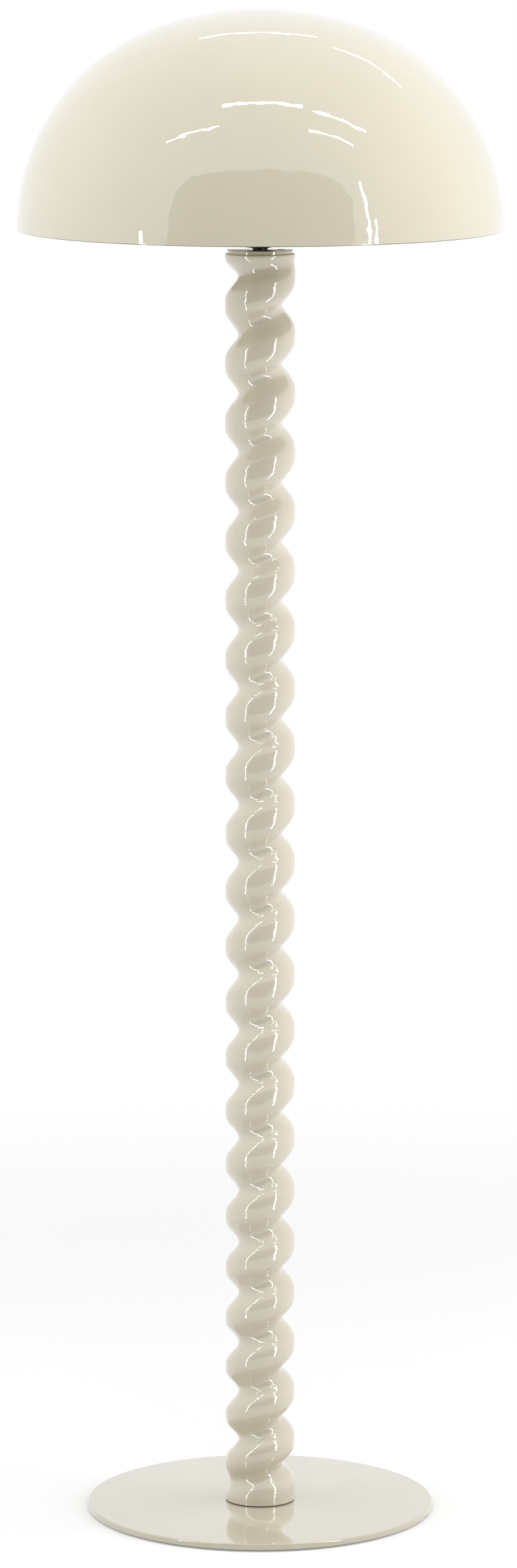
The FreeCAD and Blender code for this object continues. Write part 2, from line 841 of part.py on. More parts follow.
def make_shade_dome():
    """Spun dome: a flatter crown that runs into a rounder side, with a folded hem inside."""
    wall = "dims.shade_wall"
    hem = "dims.shade_hem_height"
    inner_edge = f"(dims.shade_radius - 2 * {wall})"
    dome = turned_body("dome_body", [
        ("dims.shade_radius", "0", SIDE, True),
        (f"({SIDE_CENTRE} + {SIDE} * sin({ANGLE}))", f"({SIDE} * cos({ANGLE}))", CROWN, True),
        ("0", SHADE_HEIGHT),
        ("0", f"({SHADE_HEIGHT} - {wall})", f"({CROWN} - {wall})", False),
        (
            f"({SIDE_CENTRE} + ({SIDE} - {wall}) * sin({ANGLE}))",
            f"(({SIDE} - {wall}) * cos({ANGLE}))",
            f"({SIDE} - {wall})",
            False,
        ),
        (inner_reach(hem), hem),
        (inner_edge, hem),
        (inner_edge, "0"),
    ])
    raise_to(dome, "dims.rim_height")
    return keep(dome, "shade_dome")


def make_spider_ring():
    ring = ring_body(
        "spider_ring_body",
        "dims.spider_ring_bore_radius",
        "dims.spider_ring_radius",
        "dims.spider_ring_thickness",
    )
    raise_to(ring, SPIDER_LEVEL)
    return keep(ring, "spider_ring")


def spider_angles():
    """Azimuths of the arms: one points to the back."""
    count = int(value("dims.spider_arm_count"))
    return [90 + 360 * number / count for number in range(count)]


TAB_FACE = f"({inner_reach(ARM_LEVEL + ' - dims.rim_height')} - dims.spider_tab_sag)"


def make_spider_arms():
    """Straight wires from the ring to the tabs on the dome's wall."""
    start = "(dims.shade_ring_radius + dims.spider_arm_gap)"
    arms = []
    for number, azimuth in enumerate(spider_angles()):
        arm = drill(f"arm_{number}", "dims.spider_arm_radius",
                    f"{TAB_FACE} - dims.spider_tab_thickness - {start}")
        lie = Rotation(Vector(0, 1, 0), 90)
        arm.Placement.Rotation = Rotation(Vector(0, 0, 1), azimuth) * lie
        arm.setExpression("Placement.Base.x", f"{start} * cos({azimuth})")
        arm.setExpression("Placement.Base.y", f"{start} * sin({azimuth})")
        arms.append(arm)
    group = doc.addObject("Part::MultiFuse", "arm_group")
    group.Shapes = arms
    raise_to(group, ARM_LEVEL)
    return keep(group, "spider_arms")


def make_spider_tabs():
    """Small plates, tilted to lie on the dome's wall, that the arms end on."""
    thickness = value("dims.spider_tab_thickness")
    above_rim = value(f"{ARM_LEVEL} - dims.rim_height")
    tilt = math.degrees(math.asin(above_rim / value(f"{SIDE} - dims.shade_wall")))
    half_size = Vector(thickness, value("dims.spider_tab_width"), value("dims.spider_tab_height")) * 0.5
    tabs = []
    for number, azimuth in enumerate(spider_angles()):
        tab = doc.addObject("Part::Box", f"tab_{number}")
        tab.setExpression("Length", "dims.spider_tab_thickness")
        tab.setExpression("Width", "dims.spider_tab_width")
        tab.setExpression("Height", "dims.spider_tab_height")
        outward = Rotation(Vector(0, 0, 1), azimuth)
        turn = outward * Rotation(Vector(0, 1, 0), -tilt)
        centre = outward.multVec(Vector(value(TAB_FACE) - thickness / 2, 0, 0))
        tab.Placement = Placement(centre - turn.multVec(half_size), turn)
        tabs.append(tab)
    group = doc.addObject("Part::MultiFuse", "tab_group")
    group.Shapes = tabs
    raise_to(group, ARM_LEVEL)
    return keep(group, "spider_tabs")


# ---------------------------------------------------------------- bulb

BULB_CAP_FOOT = "(dims.bulb_contact_height + dims.bulb_insulator_height)"
GLASS_FOOT = f"({BULB_CAP_FOOT} + dims.bulb_cap_length - dims.bulb_cap_lip)"


def make_bulb_contact():
    contact = turned_body("bulb_contact_body", [
        ("0", "0"),
        ("(dims.bulb_contact_radius - dims.bulb_contact_chamfer)", "0"),
        ("dims.bulb_contact_radius", "dims.bulb_contact_height"),
        ("0", "dims.bulb_contact_height"),
    ])
    raise_to(contact, BULB_LEVEL)
    return keep(contact, "bulb_contact")


def make_bulb_insulator():
    insulator = turned_body("bulb_insulator_body", [
        ("0", "0"),
        ("(dims.bulb_contact_radius + dims.bulb_insulator_step)", "0"),
        ("dims.bulb_insulator_radius", "dims.bulb_insulator_height"),
        ("0", "dims.bulb_insulator_height"),
    ])
    raise_to(insulator, f"{BULB_LEVEL} + dims.bulb_contact_height")
    return keep(insulator, "bulb_insulator")


def make_bulb_cap():
    """Screw cap, filled up to the seat of the glass neck."""
    lip_bore = "(dims.bulb_neck_radius + dims.slip_clearance)"
    seat = "(dims.bulb_cap_length - dims.bulb_cap_lip)"
    cap = turned_body("bulb_cap_body", [
        ("0", "0"),
        ("(dims.bulb_cap_radius - dims.bulb_cap_chamfer)", "0"),
        ("dims.bulb_cap_radius", "dims.bulb_cap_chamfer"),
        ("dims.bulb_cap_radius", "dims.bulb_cap_length"),
        (lip_bore, "dims.bulb_cap_length"),
        (lip_bore, seat),
        ("0", seat),
    ])
    raise_to(cap, f"{BULB_LEVEL} + {BULB_CAP_FOOT}")
    return keep(cap, "bulb_cap")


def make_bulb_glass():
    """Pear-shaped envelope: a neck that flares into a ball, with an even wall."""
    angle = "dims.bulb_flare_angle"
    wall = "dims.bulb_glass_wall"
    ball = "dims.bulb_radius"
    neck = "dims.bulb_neck_radius"
    flare = f"(({ball} * cos({angle}) - {neck}) / (1 - cos({angle})))"
    flare_foot = wall
    joint = f"({flare_foot} + {flare} * sin({angle}))"
    centre = f"({joint} + {ball} * sin({angle}))"
    inner_ball = f"({ball} - {wall})"
    glass = turned_body("bulb_glass_body", [
        (neck, "0"),
        (neck, flare_foot, flare, False),
        (f"({ball} * cos({angle}))", joint, ball, True),
        (ball, centre, ball, True),
        ("0", f"({centre} + {ball})"),
        ("0", f"({centre} + {inner_ball})", inner_ball, False),
        (inner_ball, centre, inner_ball, False),
        (
            f"({inner_ball} * cos({angle}))",
            f"({centre} - {inner_ball} * sin({angle}))",
            f"({flare} + {wall})",
            True,
        ),
        (f"({neck} - {wall})", flare_foot),
        (f"({neck} - {wall})", "0"),
    ])
    raise_to(glass, f"{BULB_LEVEL} + {GLASS_FOOT}")
    return keep(glass, "bulb_glass")


# ---------------------------------------------------------------- build, check and write

make_floor_pad()
make_base_plate()
make_column_screws()
make_column_inserts()
make_column()
make_cable_bush()
make_top_plate()
make_top_plate_screws()
make_holder_nipple()
make_lock_washer()
make_nipple_locknut()
make_holder_cap()
make_holder_sleeve()
make_holder_insert()
make_terminal_screws()
make_screw_shell()
make_centre_contact()
make_shade_rings()
make_shade_dome()
make_spider_ring()
make_spider_arms()
make_spider_tabs()
make_bulb_contact()
make_bulb_insulator()
make_bulb_cap()
make_bulb_glass()
doc.recompute()

for item in doc.Objects:
    if "Invalid" in item.State or "Error" in item.State:
        raise RuntimeError(f"{item.Label} did not build: {item.State}")
for node in nodes:
    if node.Shape.isNull() or not node.Shape.isValid():
        raise RuntimeError(f"{node.Label} has no valid shape")
for node in nodes:
    node.Shape.exportStep(os.path.join("parts", f"{node.Label}.step"))
    box = node.Shape.BoundBox
    print(f"{node.Label}: {len(node.Shape.Solids)} solid(s), z {box.ZMin:.2f} to {box.ZMax:.2f}")
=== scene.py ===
import bmesh
import bpy
import math
import random
from mathutils import Matrix, Vector, noise


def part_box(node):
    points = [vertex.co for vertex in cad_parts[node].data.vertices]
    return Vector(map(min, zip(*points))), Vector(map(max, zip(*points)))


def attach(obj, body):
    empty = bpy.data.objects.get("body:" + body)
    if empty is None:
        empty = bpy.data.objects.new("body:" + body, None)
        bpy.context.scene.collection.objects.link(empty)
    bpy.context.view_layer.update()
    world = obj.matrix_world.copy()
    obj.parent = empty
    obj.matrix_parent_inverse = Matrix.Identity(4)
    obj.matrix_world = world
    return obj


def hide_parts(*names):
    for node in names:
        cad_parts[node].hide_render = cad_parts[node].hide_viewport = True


# A lacquered floor lamp: a glossy dome on a barley-twist column over a round plate.
# Metres, +Z up, the front towards -Y. Every piece stands where its CAD node stands.

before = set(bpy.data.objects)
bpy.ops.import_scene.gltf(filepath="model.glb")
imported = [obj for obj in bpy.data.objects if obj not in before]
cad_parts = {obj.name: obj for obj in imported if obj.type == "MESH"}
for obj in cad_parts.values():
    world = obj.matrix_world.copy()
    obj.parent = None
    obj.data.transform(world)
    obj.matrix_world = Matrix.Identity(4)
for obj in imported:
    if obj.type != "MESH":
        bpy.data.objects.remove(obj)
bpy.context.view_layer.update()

MM = 0.001
FULL_TURN = 2 * math.pi
SHARP_ANGLE = 40


# ---------------- mesh helpers

def level(node, above=0.0):
    """Height of a node's underside, or of a place that many millimetres above it."""
    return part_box(node)[0].z + above * MM


def corner_arc(before, corner, after, radius, steps):
    """Points that round a corner of an outline."""
    to_before = (before - corner).normalized()
    to_after = (after - corner).normalized()
    half_angle = to_before.angle(to_after) / 2
    reach = radius / math.tan(half_angle)
    start = corner + to_before * reach
    end = corner + to_after * reach
    centre = corner + (to_before + to_after).normalized() * (radius / math.sin(half_angle))
    first = start - centre
    last = end - centre
    points = []
    for step in range(steps + 1):
        share = step / steps
        spoke = first.lerp(last, share).normalized() * radius
        points.append(centre + spoke)
    return points


def outline_of(corners, closed, steps=5):
    """Outline in millimetres from (radius, height) corners; a third number rounds that corner."""
    places = [Vector((corner[0], corner[1])) for corner in corners]
    count = len(corners)
    points = []
    for index, corner in enumerate(corners):
        at_end = not closed and index in (0, count - 1)
        if len(corner) == 2 or at_end:
            points.append(places[index])
            continue
        before = places[index - 1]
        after = places[(index + 1) % count]
        points += corner_arc(before, places[index], after, corner[2], steps)
    return points


def pipe_corners(bore, radius, length, inner, outer):
    """Corners of a pipe's wall, with the roundings of its inner and outer edges."""
    return [
        (bore, 0, inner),
        (radius, 0, outer),
        (radius, length, outer),
        (bore, length, inner),
    ]


def divided(points, closed, low, high, step):
    """The outline with its upright runs between two heights cut into short steps."""
    made = []
    pairs = list(zip(points, points[1:] + points[:1]))
    if not closed:
        pairs = pairs[:-1]
    for start, end in pairs:
        made.append(start)
        upright = abs(start.x - end.x) < 0.01
        if upright and min(start.y, end.y) < high and max(start.y, end.y) > low:
            parts = max(1, round(abs(end.y - start.y) / step))
            made += [start.lerp(end, part / parts) for part in range(1, parts)]
    if not closed:
        made.append(points[-1])
    return made


def thread_relief(low, high, pitch, depth, radius, run_out=0.6):
    """Offset of a helical thread on walls of about a radius; a minus depth cuts a bore."""
    def relief(place, azimuth):
        if abs(place.x - radius) > 0.3:
            return 0.0
        inside = min(place.y - low, high - place.y) / (run_out * pitch)
        fade = max(0.0, min(1.0, inside))
        phase = place.y / pitch - azimuth / FULL_TURN
        wave = (1 - math.cos(FULL_TURN * phase)) / 2
        return -depth * fade * wave
    return relief


def plain_piece(name, builder):
    """Piece from a bmesh builder, which it frees."""
    mesh = bpy.data.meshes.new(name)
    builder.to_mesh(mesh)
    builder.free()
    piece = bpy.data.objects.new(name, mesh)
    bpy.context.scene.collection.objects.link(piece)
    return piece


def smooth_piece(name, builder, sharp=SHARP_ANGLE):
    """Piece from a builder, smooth but for edges sharper than an angle in degrees."""
    piece = plain_piece(name, builder)
    piece.data.shade_smooth()
    piece.data.set_sharp_from_angle(angle=math.radians(sharp))
    return piece


def turned(name, points, closed, sides=96, relief=None, lift=0.0):
    """Piece turned from an outline in millimetres, raised to a height in metres."""
    builder = bmesh.new()
    rings = []
    for place in points:
        if place.x < 0.001:
            rings.append([builder.verts.new((0, 0, place.y * MM + lift))])
            continue
        ring = []
        for side in range(sides):
            azimuth = FULL_TURN * side / sides
            reach = place.x + (relief(place, azimuth) if relief else 0.0)
            x = reach * math.cos(azimuth) * MM
            y = reach * math.sin(azimuth) * MM
            ring.append(builder.verts.new((x, y, place.y * MM + lift)))
        rings.append(ring)
    pairs = list(zip(rings, rings[1:] + rings[:1]))
    if not closed:
        pairs = pairs[:-1]
    for lower, upper in pairs:
        if len(lower) == 1 and len(upper) == 1:
            continue
        for side in range(sides):
            after = (side + 1) % sides
            around = [lower[side % len(lower)], lower[after % len(lower)]]
            around += [upper[after % len(upper)], upper[side % len(upper)]]
            builder.faces.new(list(dict.fromkeys(around)))
    bmesh.ops.recalc_face_normals(builder, faces=builder.faces)
    return smooth_piece(name, builder)


def combined(piece, tools, operation):
    """Cuts the tools out of a piece, or joins them to it, and deletes them."""
    for tool in tools:
        modifier = piece.modifiers.new(operation.lower(), "BOOLEAN")
        modifier.operation = operation
        modifier.solver = "EXACT"
        modifier.object = tool
    bpy.context.view_layer.update()
    shape = piece.evaluated_get(bpy.context.evaluated_depsgraph_get())
    mesh = bpy.data.meshes.new_from_object(shape)
    piece.modifiers.clear()
    piece.data = mesh
    mesh.set_sharp_from_angle(angle=math.radians(SHARP_ANGLE))
    for tool in tools:
        bpy.data.objects.remove(tool)
    return piece


def cut(piece, tools):
    return combined(piece, tools, "DIFFERENCE")


def dressed(piece, material, body, slot_name, *nodes):
    """Gives a piece its material and body, and hides the CAD nodes it stands for; its slot name is not
    used.
    """
    piece.data.materials.clear()
    piece.data.materials.append(material)
    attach(piece, body)
    if nodes:
        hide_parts(*nodes)
    return piece


# ---------------- materials

class Nodes:
    """Nodes of a material or a world, with short calls to add and join them."""

    def __init__(self, owner):
        owner.use_nodes = True
        self.tree = owner.node_tree
        self.tree.nodes.clear()

    def add(self, kind, **values):
        """New node with values on its sockets; an underscore stands for a space."""
        node = self.tree.nodes.new(kind)
        for name, value in values.items():
            node.inputs[name.replace("_", " ")].default_value = value
        return node

    def join(self, source, target):
        self.tree.links.new(source, target)

    def maths(self, operation, first, second):
        """Result of a sum of two sources."""
        node = self.add("ShaderNodeMath")
        node.operation = operation
        self.join(first, node.inputs[0])
        self.join(second, node.inputs[1])
        return node.outputs[0]

    def mixed(self, share, first, second, output):
        """Mixes two shaders by a share of the second, and joins them to an output."""
        mix = self.add("ShaderNodeMixShader")
        self.join(share, mix.inputs[0])
        self.join(first.outputs[0], mix.inputs[1])
        self.join(second.outputs[0], mix.inputs[2])
        self.join(mix.outputs[0], self.add(output).inputs["Surface"])

    def seen_directly(self):
        """1 where a camera, glossy or transmission ray looks, else 0."""
        rays = self.add("ShaderNodeLightPath").outputs
        first = self.maths("MAXIMUM", rays["Is Camera Ray"], rays["Is Glossy Ray"])
        return self.maths("MAXIMUM", first, rays["Is Transmission Ray"])


class Shader(Nodes):
    """A material with one surface, whose patterns stand still on the object."""

    def __init__(self, name, **values):
        self.material = bpy.data.materials.new(name)
        super().__init__(self.material)
        self.surface = self.add("ShaderNodeBsdfPrincipled", **values)
        output = self.add("ShaderNodeOutputMaterial")
        self.join(self.surface.outputs["BSDF"], output.inputs["Surface"])
        self.place = self.add("ShaderNodeTexCoord").outputs["Object"]

    def noise(self, size, detail=3.0, roughness=0.5, stretch=(1, 1, 1)):
        """Noise whose features are about a size in metres."""
        mapping = self.add("ShaderNodeMapping", Scale=stretch)
        self.join(self.place, mapping.inputs["Vector"])
        texture = self.add("ShaderNodeTexNoise", Scale=1 / size, Detail=detail, Roughness=roughness)
        self.join(mapping.outputs["Vector"], texture.inputs["Vector"])
        return texture.outputs["Fac"]

    def ramp(self, source, stops):
        """Colour or grey ramp through (position, colour) stops."""
        node = self.add("ShaderNodeValToRGB")
        elements = node.color_ramp.elements
        while len(elements) > 1:
            elements.remove(elements[-1])
        for index, (position, colour) in enumerate(stops):
            element = elements[0] if index == 0 else elements.new(position)
            element.position = position
            element.color = (*colour, 1)
        self.join(source, node.inputs["Fac"])
        return node.outputs["Color"]

    def tint(self, source, colour, spread):
        """Colour that wanders about its middle value by a small share."""
        dark = [channel * (1 - spread) for channel in colour]
        light = [min(1.0, channel * (1 + spread)) for channel in colour]
        self.join(self.ramp(source, [(0.3, dark), (0.7, light)]), self.surface.inputs["Base Color"])

    def painted_shade_below(self, height, fade, colour):
        """Paints shade into the tint below a height in metres: the dark line of a seam in shade."""
        split = self.add("ShaderNodeSeparateXYZ")
        self.join(self.place, split.inputs["Vector"])
        share = self.add("ShaderNodeMapRange", To_Min=1, To_Max=0)
        share.inputs["From Min"].default_value = height
        share.inputs["From Max"].default_value = height + fade
        self.join(split.outputs["Z"], share.inputs["Value"])
        tint = self.surface.inputs["Base Color"]
        mix = self.add("ShaderNodeMixRGB", Color2=(*colour, 1))
        self.join(share.outputs["Result"], mix.inputs["Fac"])
        self.join(tint.links[0].from_socket, mix.inputs["Color1"])
        self.join(mix.outputs["Color"], tint)

    def gloss(self, source, low, high):
        """Roughness that wanders between two values."""
        grey = self.ramp(source, [(0.35, [low] * 3), (0.65, [high] * 3)])
        self.join(grey, self.surface.inputs["Roughness"])

    def relief(self, layers):
        """Bump from (source, height in metres) layers, on the surface and its coat."""
        below = None
        for source, height in layers:
            bump = self.add("ShaderNodeBump", Strength=1, Distance=height)
            self.join(source, bump.inputs["Height"])
            if below:
                self.join(below, bump.inputs["Normal"])
            below = bump.outputs["Normal"]
        self.join(below, self.surface.inputs["Normal"])
        self.join(below, self.surface.inputs["Coat Normal"])


def lacquer(name, colour, ripple, ripple_size, peel, polish, painted_shade_line=None):
    """Opaque gloss lacquer: slow waves, fine orange peel, painted shade below a (height, fade) line.
    """
    shader = Shader(name, IOR=1.5, Coat_Weight=1.0, Coat_Roughness=polish, Coat_IOR=1.5)
    shader.tint(shader.noise(0.12, 4), colour, 0.018)
    # Painted shade: a dark line painted into the colour below the given height.
    if painted_shade_line:
        shader.painted_shade_below(*painted_shade_line, SEAM_SHADE_COLOUR)
    shader.gloss(shader.noise(0.03, 4), polish, polish * 3)
    shader.relief([
        (shader.noise(ripple_size, 2), ripple),
        (shader.noise(ripple_size * 0.25, 2), peel),
        (shader.noise(0.0014, 1), 0.0000012),
    ])
    return shader.material


def moulded_black():
    """Black thermoset: satin, with flow marks and a faint grain."""
    shader = Shader("moulded_black", IOR=1.5, Specular_IOR_Level=0.45)
    shader.tint(shader.noise(0.01, 4), (0.022, 0.021, 0.020), 0.25)
    shader.gloss(shader.noise(0.006, 5), 0.28, 0.42)
    shader.relief([(shader.noise(0.0008, 3), 0.00001), (shader.noise(0.012, 2), 0.00003)])
    return shader.material


def metal(name, colour, low, high, grain):
    """Plated or turned metal with fine marks along its turning direction."""
    shader = Shader(name, Metallic=1.0)
    shader.tint(shader.noise(0.004, 5), colour, 0.06)
    shader.gloss(shader.noise(0.003, 5, 0.6, (1, 1, 5)), low, high)
    shader.relief([(shader.noise(0.002, 4, 0.6, (1, 1, 8)), grain)])
    return shader.material


def glazed_ceramic():
    shader = Shader("glazed_ceramic", IOR=1.52, Coat_Weight=0.5, Coat_Roughness=0.05)
    shader.tint(shader.noise(0.004, 5), (0.80, 0.78, 0.72), 0.04)
    shader.gloss(shader.noise(0.005, 3), 0.12, 0.24)
    shader.relief([(shader.noise(0.003, 3), 0.00002)])
    return shader.material


def closed_foam():
    """Dark foam pad: matt, with closed cells."""
    shader = Shader("closed_foam", IOR=1.45, Specular_IOR_Level=0.2, Sheen_Weight=0.1)
    shader.tint(shader.noise(0.02, 5), (0.075, 0.073, 0.070), 0.25)
    shader.gloss(shader.noise(0.002, 3), 0.80, 0.95)
    cells = shader.add("ShaderNodeTexVoronoi", Scale=900)
    shader.join(shader.place, cells.inputs["Vector"])
    shader.relief([(cells.outputs["Distance"], 0.0002)])
    return shader.material


def opal_glass():
    """Opal envelope: white, softly glossy, slightly see-through towards the light."""
    shader = Shader(
        "opal_glass", IOR=1.5, Coat_Weight=0.4, Coat_Roughness=0.08,
        Subsurface_Weight=0.25, Subsurface_Scale=0.004,
    )
    shader.tint(shader.noise(0.03, 3), (0.86, 0.86, 0.83), 0.02)
    shader.gloss(shader.noise(0.02, 3), 0.16, 0.26)
    shader.relief([(shader.noise(0.02, 2), 0.00004)])
    return shader.material


def black_glass():
    shader = Shader("black_glass", IOR=1.52, Coat_Weight=0.5, Coat_Roughness=0.04)
    shader.tint(shader.noise(0.003, 3), (0.030, 0.028, 0.035), 0.3)
    shader.gloss(shader.noise(0.003, 3), 0.08, 0.2)
    shader.relief([(shader.noise(0.004, 3), 0.00004)])
    return shader.material


DOME_COLOUR = (0.660, 0.615, 0.485)
WOOD_COLOUR = (0.650, 0.595, 0.480)
STEEL_COLOUR = (0.570, 0.528, 0.412)
# Colour of the painted shade lines under the dome's rim and at the column's foot.
SEAM_SHADE_COLOUR = (0.09, 0.065, 0.045)

# Painted shade: a dark line along the rim's lower edge and where the column stands on the plate.
RIM_PAINTED_SHADE = (level("shade_dome", 0.4), 0.0006)
FOOT_PAINTED_SHADE = (level("column", 0.8), 0.0009)

dome_lacquer = lacquer("dome_lacquer", DOME_COLOUR, 0.00032, 0.034, 0.00003, 0.01, RIM_PAINTED_SHADE)
wood_lacquer = lacquer("wood_lacquer", WOOD_COLOUR, 0.00016, 0.011, 0.00005, 0.01, FOOT_PAINTED_SHADE)
steel_lacquer = lacquer("steel_lacquer", STEEL_COLOUR, 0.00004, 0.040, 0.000003, 0.004)
arm_lacquer = lacquer("arm_lacquer", DOME_COLOUR, 0.00006, 0.012, 0.000005, 0.01)
black_plastic = moulded_black()
zinc = metal("bright_zinc", (0.62, 0.63, 0.65), 0.22, 0.38, 0.000012)
brass = metal("plain_brass", (0.72, 0.55, 0.27), 0.18, 0.32, 0.000010)
nickel = metal("nickel_plate", (0.70, 0.68, 0.64), 0.12, 0.24, 0.000008)
ceramic = glazed_ceramic()
foam = closed_foam()
opal = opal_glass()
vitrite = black_glass()


# ---------------- base

PAD_RADIUS, PAD_OPENING, PAD_THICKNESS = 173, 55, 2
BASE_RADIUS, BASE_THICKNESS, BASE_EDGE = 181.5, 6, 1.5
FOOT_SCREWS, FOOT_SCREW_CIRCLE, FOOT_SCREW_RADIUS, FOOT_SCREW_LENGTH = 4, 18, 2.5, 16
HOLE_SLACK, TOOL_OVERLAP = 0.2, 1.0


def make_floor_pad():
    corners = pipe_corners(PAD_OPENING, PAD_RADIUS, PAD_THICKNESS, 0.3, 0.3)
    pad = turned("floor_pad_foam", outline_of(corners, True, 3), True, 160, lift=level("floor_pad"))
    dressed(pad, foam, "lamp_stand", "foam", "floor_pad")


def countersinks(count, distance, radius, plate, lift, heads_down):
    """Tools for countersunk holes through a plate, at the places of its screws."""
    tools = []
    sign = 1 if heads_down else -1
    near = 0 if heads_down else plate
    hole = radius + HOLE_SLACK
    head_end = near - sign * TOOL_OVERLAP
    far_end = near + sign * (plate + TOOL_OVERLAP)
    for number in range(count):
        azimuth = FULL_TURN * number / count
        points = [
            Vector((0, head_end)),
            Vector((hole + radius + TOOL_OVERLAP, head_end)),
            Vector((hole, near + sign * radius)),
            Vector((hole, far_end)),
            Vector((0, far_end)),
        ]
        tool = turned(f"hole_{number}", points, False, 40, lift=lift)
        place = Vector((math.cos(azimuth), math.sin(azimuth), 0)) * distance * MM
        tool.data.transform(Matrix.Translation(place))
        tools.append(tool)
    return tools


def make_base_plate():
    corners = [
        (0, 0),
        (BASE_RADIUS, 0, 0.4),
        (BASE_RADIUS, BASE_THICKNESS, BASE_EDGE),
        (0, BASE_THICKNESS),
    ]
    lift = level("base_plate")
    plate = turned("base_plate_steel", outline_of(corners, False, 8), False, 256, lift=lift)
    cut(plate, countersinks(
        FOOT_SCREWS, FOOT_SCREW_CIRCLE, FOOT_SCREW_RADIUS, BASE_THICKNESS, lift, True,
    ))
    dressed(plate, steel_lacquer, "lamp_stand", "lacquered_steel", "base_plate")


# ---------------- twisted column

COLUMN_RADIUS, COLUMN_LENGTH, GROOVE_DEPTH, GROOVE_NARROWNESS = 36.5, 1315, 13.6, 1.7
PITCH_AT_FOOT, PITCH_AT_MIDDLE, PITCH_AT_TOP = 49.9, 59.9, 59.9
CREST_AT_FOOT = math.radians(252)
FOOT_FADE, TOP_FADE = 45, 25
COLUMN_SIDES, RINGS_PER_TURN = 112, 36
FOOT_ROUNDING, TOP_ROUNDING = 1.5, 1.2
HAND_MARK, HAND_MARK_SIZE, HAND_MARK_FADE = 0.12, 14, 10
COLUMN_SHARP_ANGLE = 50
INLET_HEIGHT, INLET_SEAT = 14, 33.5
INLET_RADIUS, INLET_SEAT_RADIUS = 5.0, 7.75
INLET_DRILL_START, INLET_TOOL_END = 12, 60


def smooth_step(share):
    share = max(0.0, min(1.0, share))
    return share * share * (3 - 2 * share)


def turns_above_foot(height):
    """Turns of the twist up to a height: its pitch eases through three stated values."""
    share = height / COLUMN_LENGTH
    foot, middle, top = 1 / PITCH_AT_FOOT, 1 / PITCH_AT_MIDDLE, 1 / PITCH_AT_TOP
    slope = 4 * middle - 3 * foot - top
    bend = 2 * (foot + top) - 4 * middle
    return COLUMN_LENGTH * share * (foot + share * (slope / 2 + share * bend / 3))


def column_reach(height, azimuth):
    """Radius of the column at a height above its foot, in millimetres."""
    depth = GROOVE_DEPTH * smooth_step(height / FOOT_FADE)
    depth *= smooth_step((COLUMN_LENGTH - height) / TOP_FADE)
    crest = CREST_AT_FOOT + FULL_TURN * turns_above_foot(height)
    hollow = ((1 - math.cos(azimuth - crest)) / 2) ** GROOVE_NARROWNESS
    return COLUMN_RADIUS - depth * hollow


def rounded_levels(rounding, steps=4):
    """(height, draw-in) pairs of a rounded end edge, from the end inwards."""
    pairs = []
    for step in range(steps + 1):
        angle = math.pi / 2 * step / steps
        pairs.append((rounding * (1 - math.sin(angle)), rounding * (1 - math.cos(angle))))
    return pairs[::-1]


def hand_mark(x, y, height):
    """Slow unevenness that shaping and rubbing down leave in the wood."""
    place = Vector((x, y, height)) / HAND_MARK_SIZE
    return noise.noise(place) * HAND_MARK


def make_column():
    foot_edge = sorted(rounded_levels(FOOT_ROUNDING))
    top_edge = sorted((COLUMN_LENGTH - rise, inset) for rise, inset in rounded_levels(TOP_ROUNDING))
    steps = round(turns_above_foot(COLUMN_LENGTH) * RINGS_PER_TURN)
    between = [COLUMN_LENGTH * step / steps for step in range(1, steps)]
    stations = foot_edge + [(height, 0.0) for height in between] + top_edge
    builder = bmesh.new()
    lift = level("column")
    rings = []
    for height, inset in stations:
        ring = []
        near_end = min(height, COLUMN_LENGTH - height)
        for side in range(COLUMN_SIDES):
            azimuth = FULL_TURN * side / COLUMN_SIDES
            reach = column_reach(height, azimuth) - inset
            x, y = reach * math.cos(azimuth), reach * math.sin(azimuth)
            worn = -abs(hand_mark(x, y, height)) * smooth_step(near_end / HAND_MARK_FADE)
            scale = (reach + worn) / reach * MM
            ring.append(builder.verts.new((x * scale, y * scale, height * MM + lift)))
        rings.append(ring)
    for lower, upper in zip(rings, rings[1:]):
        for side in range(COLUMN_SIDES):
            after = (side + 1) % COLUMN_SIDES
            builder.faces.new((lower[side], lower[after], upper[after], upper[side]))
    builder.faces.new(rings[0][::-1])
    builder.faces.new(rings[-1])
    bmesh.ops.recalc_face_normals(builder, faces=builder.faces)
    column = smooth_piece("twisted_column", builder, COLUMN_SHARP_ANGLE)
    cut(column, inlet_tools())
    dressed(column, wood_lacquer, "lamp_stand", "lacquered_wood", "column")


def inlet_tools():
    """Drill and flat seat of the lead inlet, laid along +Y."""
    tools = []
    for name, radius, start in (
        ("inlet_drill", INLET_RADIUS, INLET_DRILL_START),
        ("inlet_seat_cutter", INLET_SEAT_RADIUS, INLET_SEAT),
    ):
        end = INLET_TOOL_END
        corners = [(0, start), (radius, start), (radius, end), (0, end)]
        tool = turned(name, outline_of(corners, False), False, 48)
        tool.data.transform(Matrix.Rotation(-math.pi / 2, 4, "X"))
        tool.data.transform(Matrix.Translation((0, 0, level("column", INLET_HEIGHT))))
        tools.append(tool)
    return tools


# ---------------- shade

SHADE_RADIUS, SHADE_WALL, HEM_HEIGHT = 250, 1.2, 6
CROWN_RADIUS, CROWN_ANGLE = 320, math.radians(17.5)
SIDE_RADIUS = (SHADE_RADIUS - CROWN_RADIUS * math.sin(CROWN_ANGLE)) / (1 - math.sin(CROWN_ANGLE))
SIDE_CENTRE = SHADE_RADIUS - SIDE_RADIUS
CROWN_CENTRE = (SIDE_RADIUS - CROWN_RADIUS) * math.cos(CROWN_ANGLE)
HEM_ROLL = 0.5


def dome_arc(offset, low, steps):
    """Outline of the dome, moved inwards by an offset, from a height above the rim to the top."""
    side = SIDE_RADIUS - offset
    crown = CROWN_RADIUS - offset
    start = math.asin(low / side)
    end = math.pi / 2 - CROWN_ANGLE
    points = []
    for step in range(steps):
        angle = start + (end - start) * step / steps
        points.append(Vector((SIDE_CENTRE + side * math.cos(angle), side * math.sin(angle))))
    for step in range(steps // 2 + 1):
        angle = CROWN_ANGLE * (1 - step / (steps // 2))
        points.append(Vector((crown * math.sin(angle), CROWN_CENTRE + crown * math.cos(angle))))
    return points


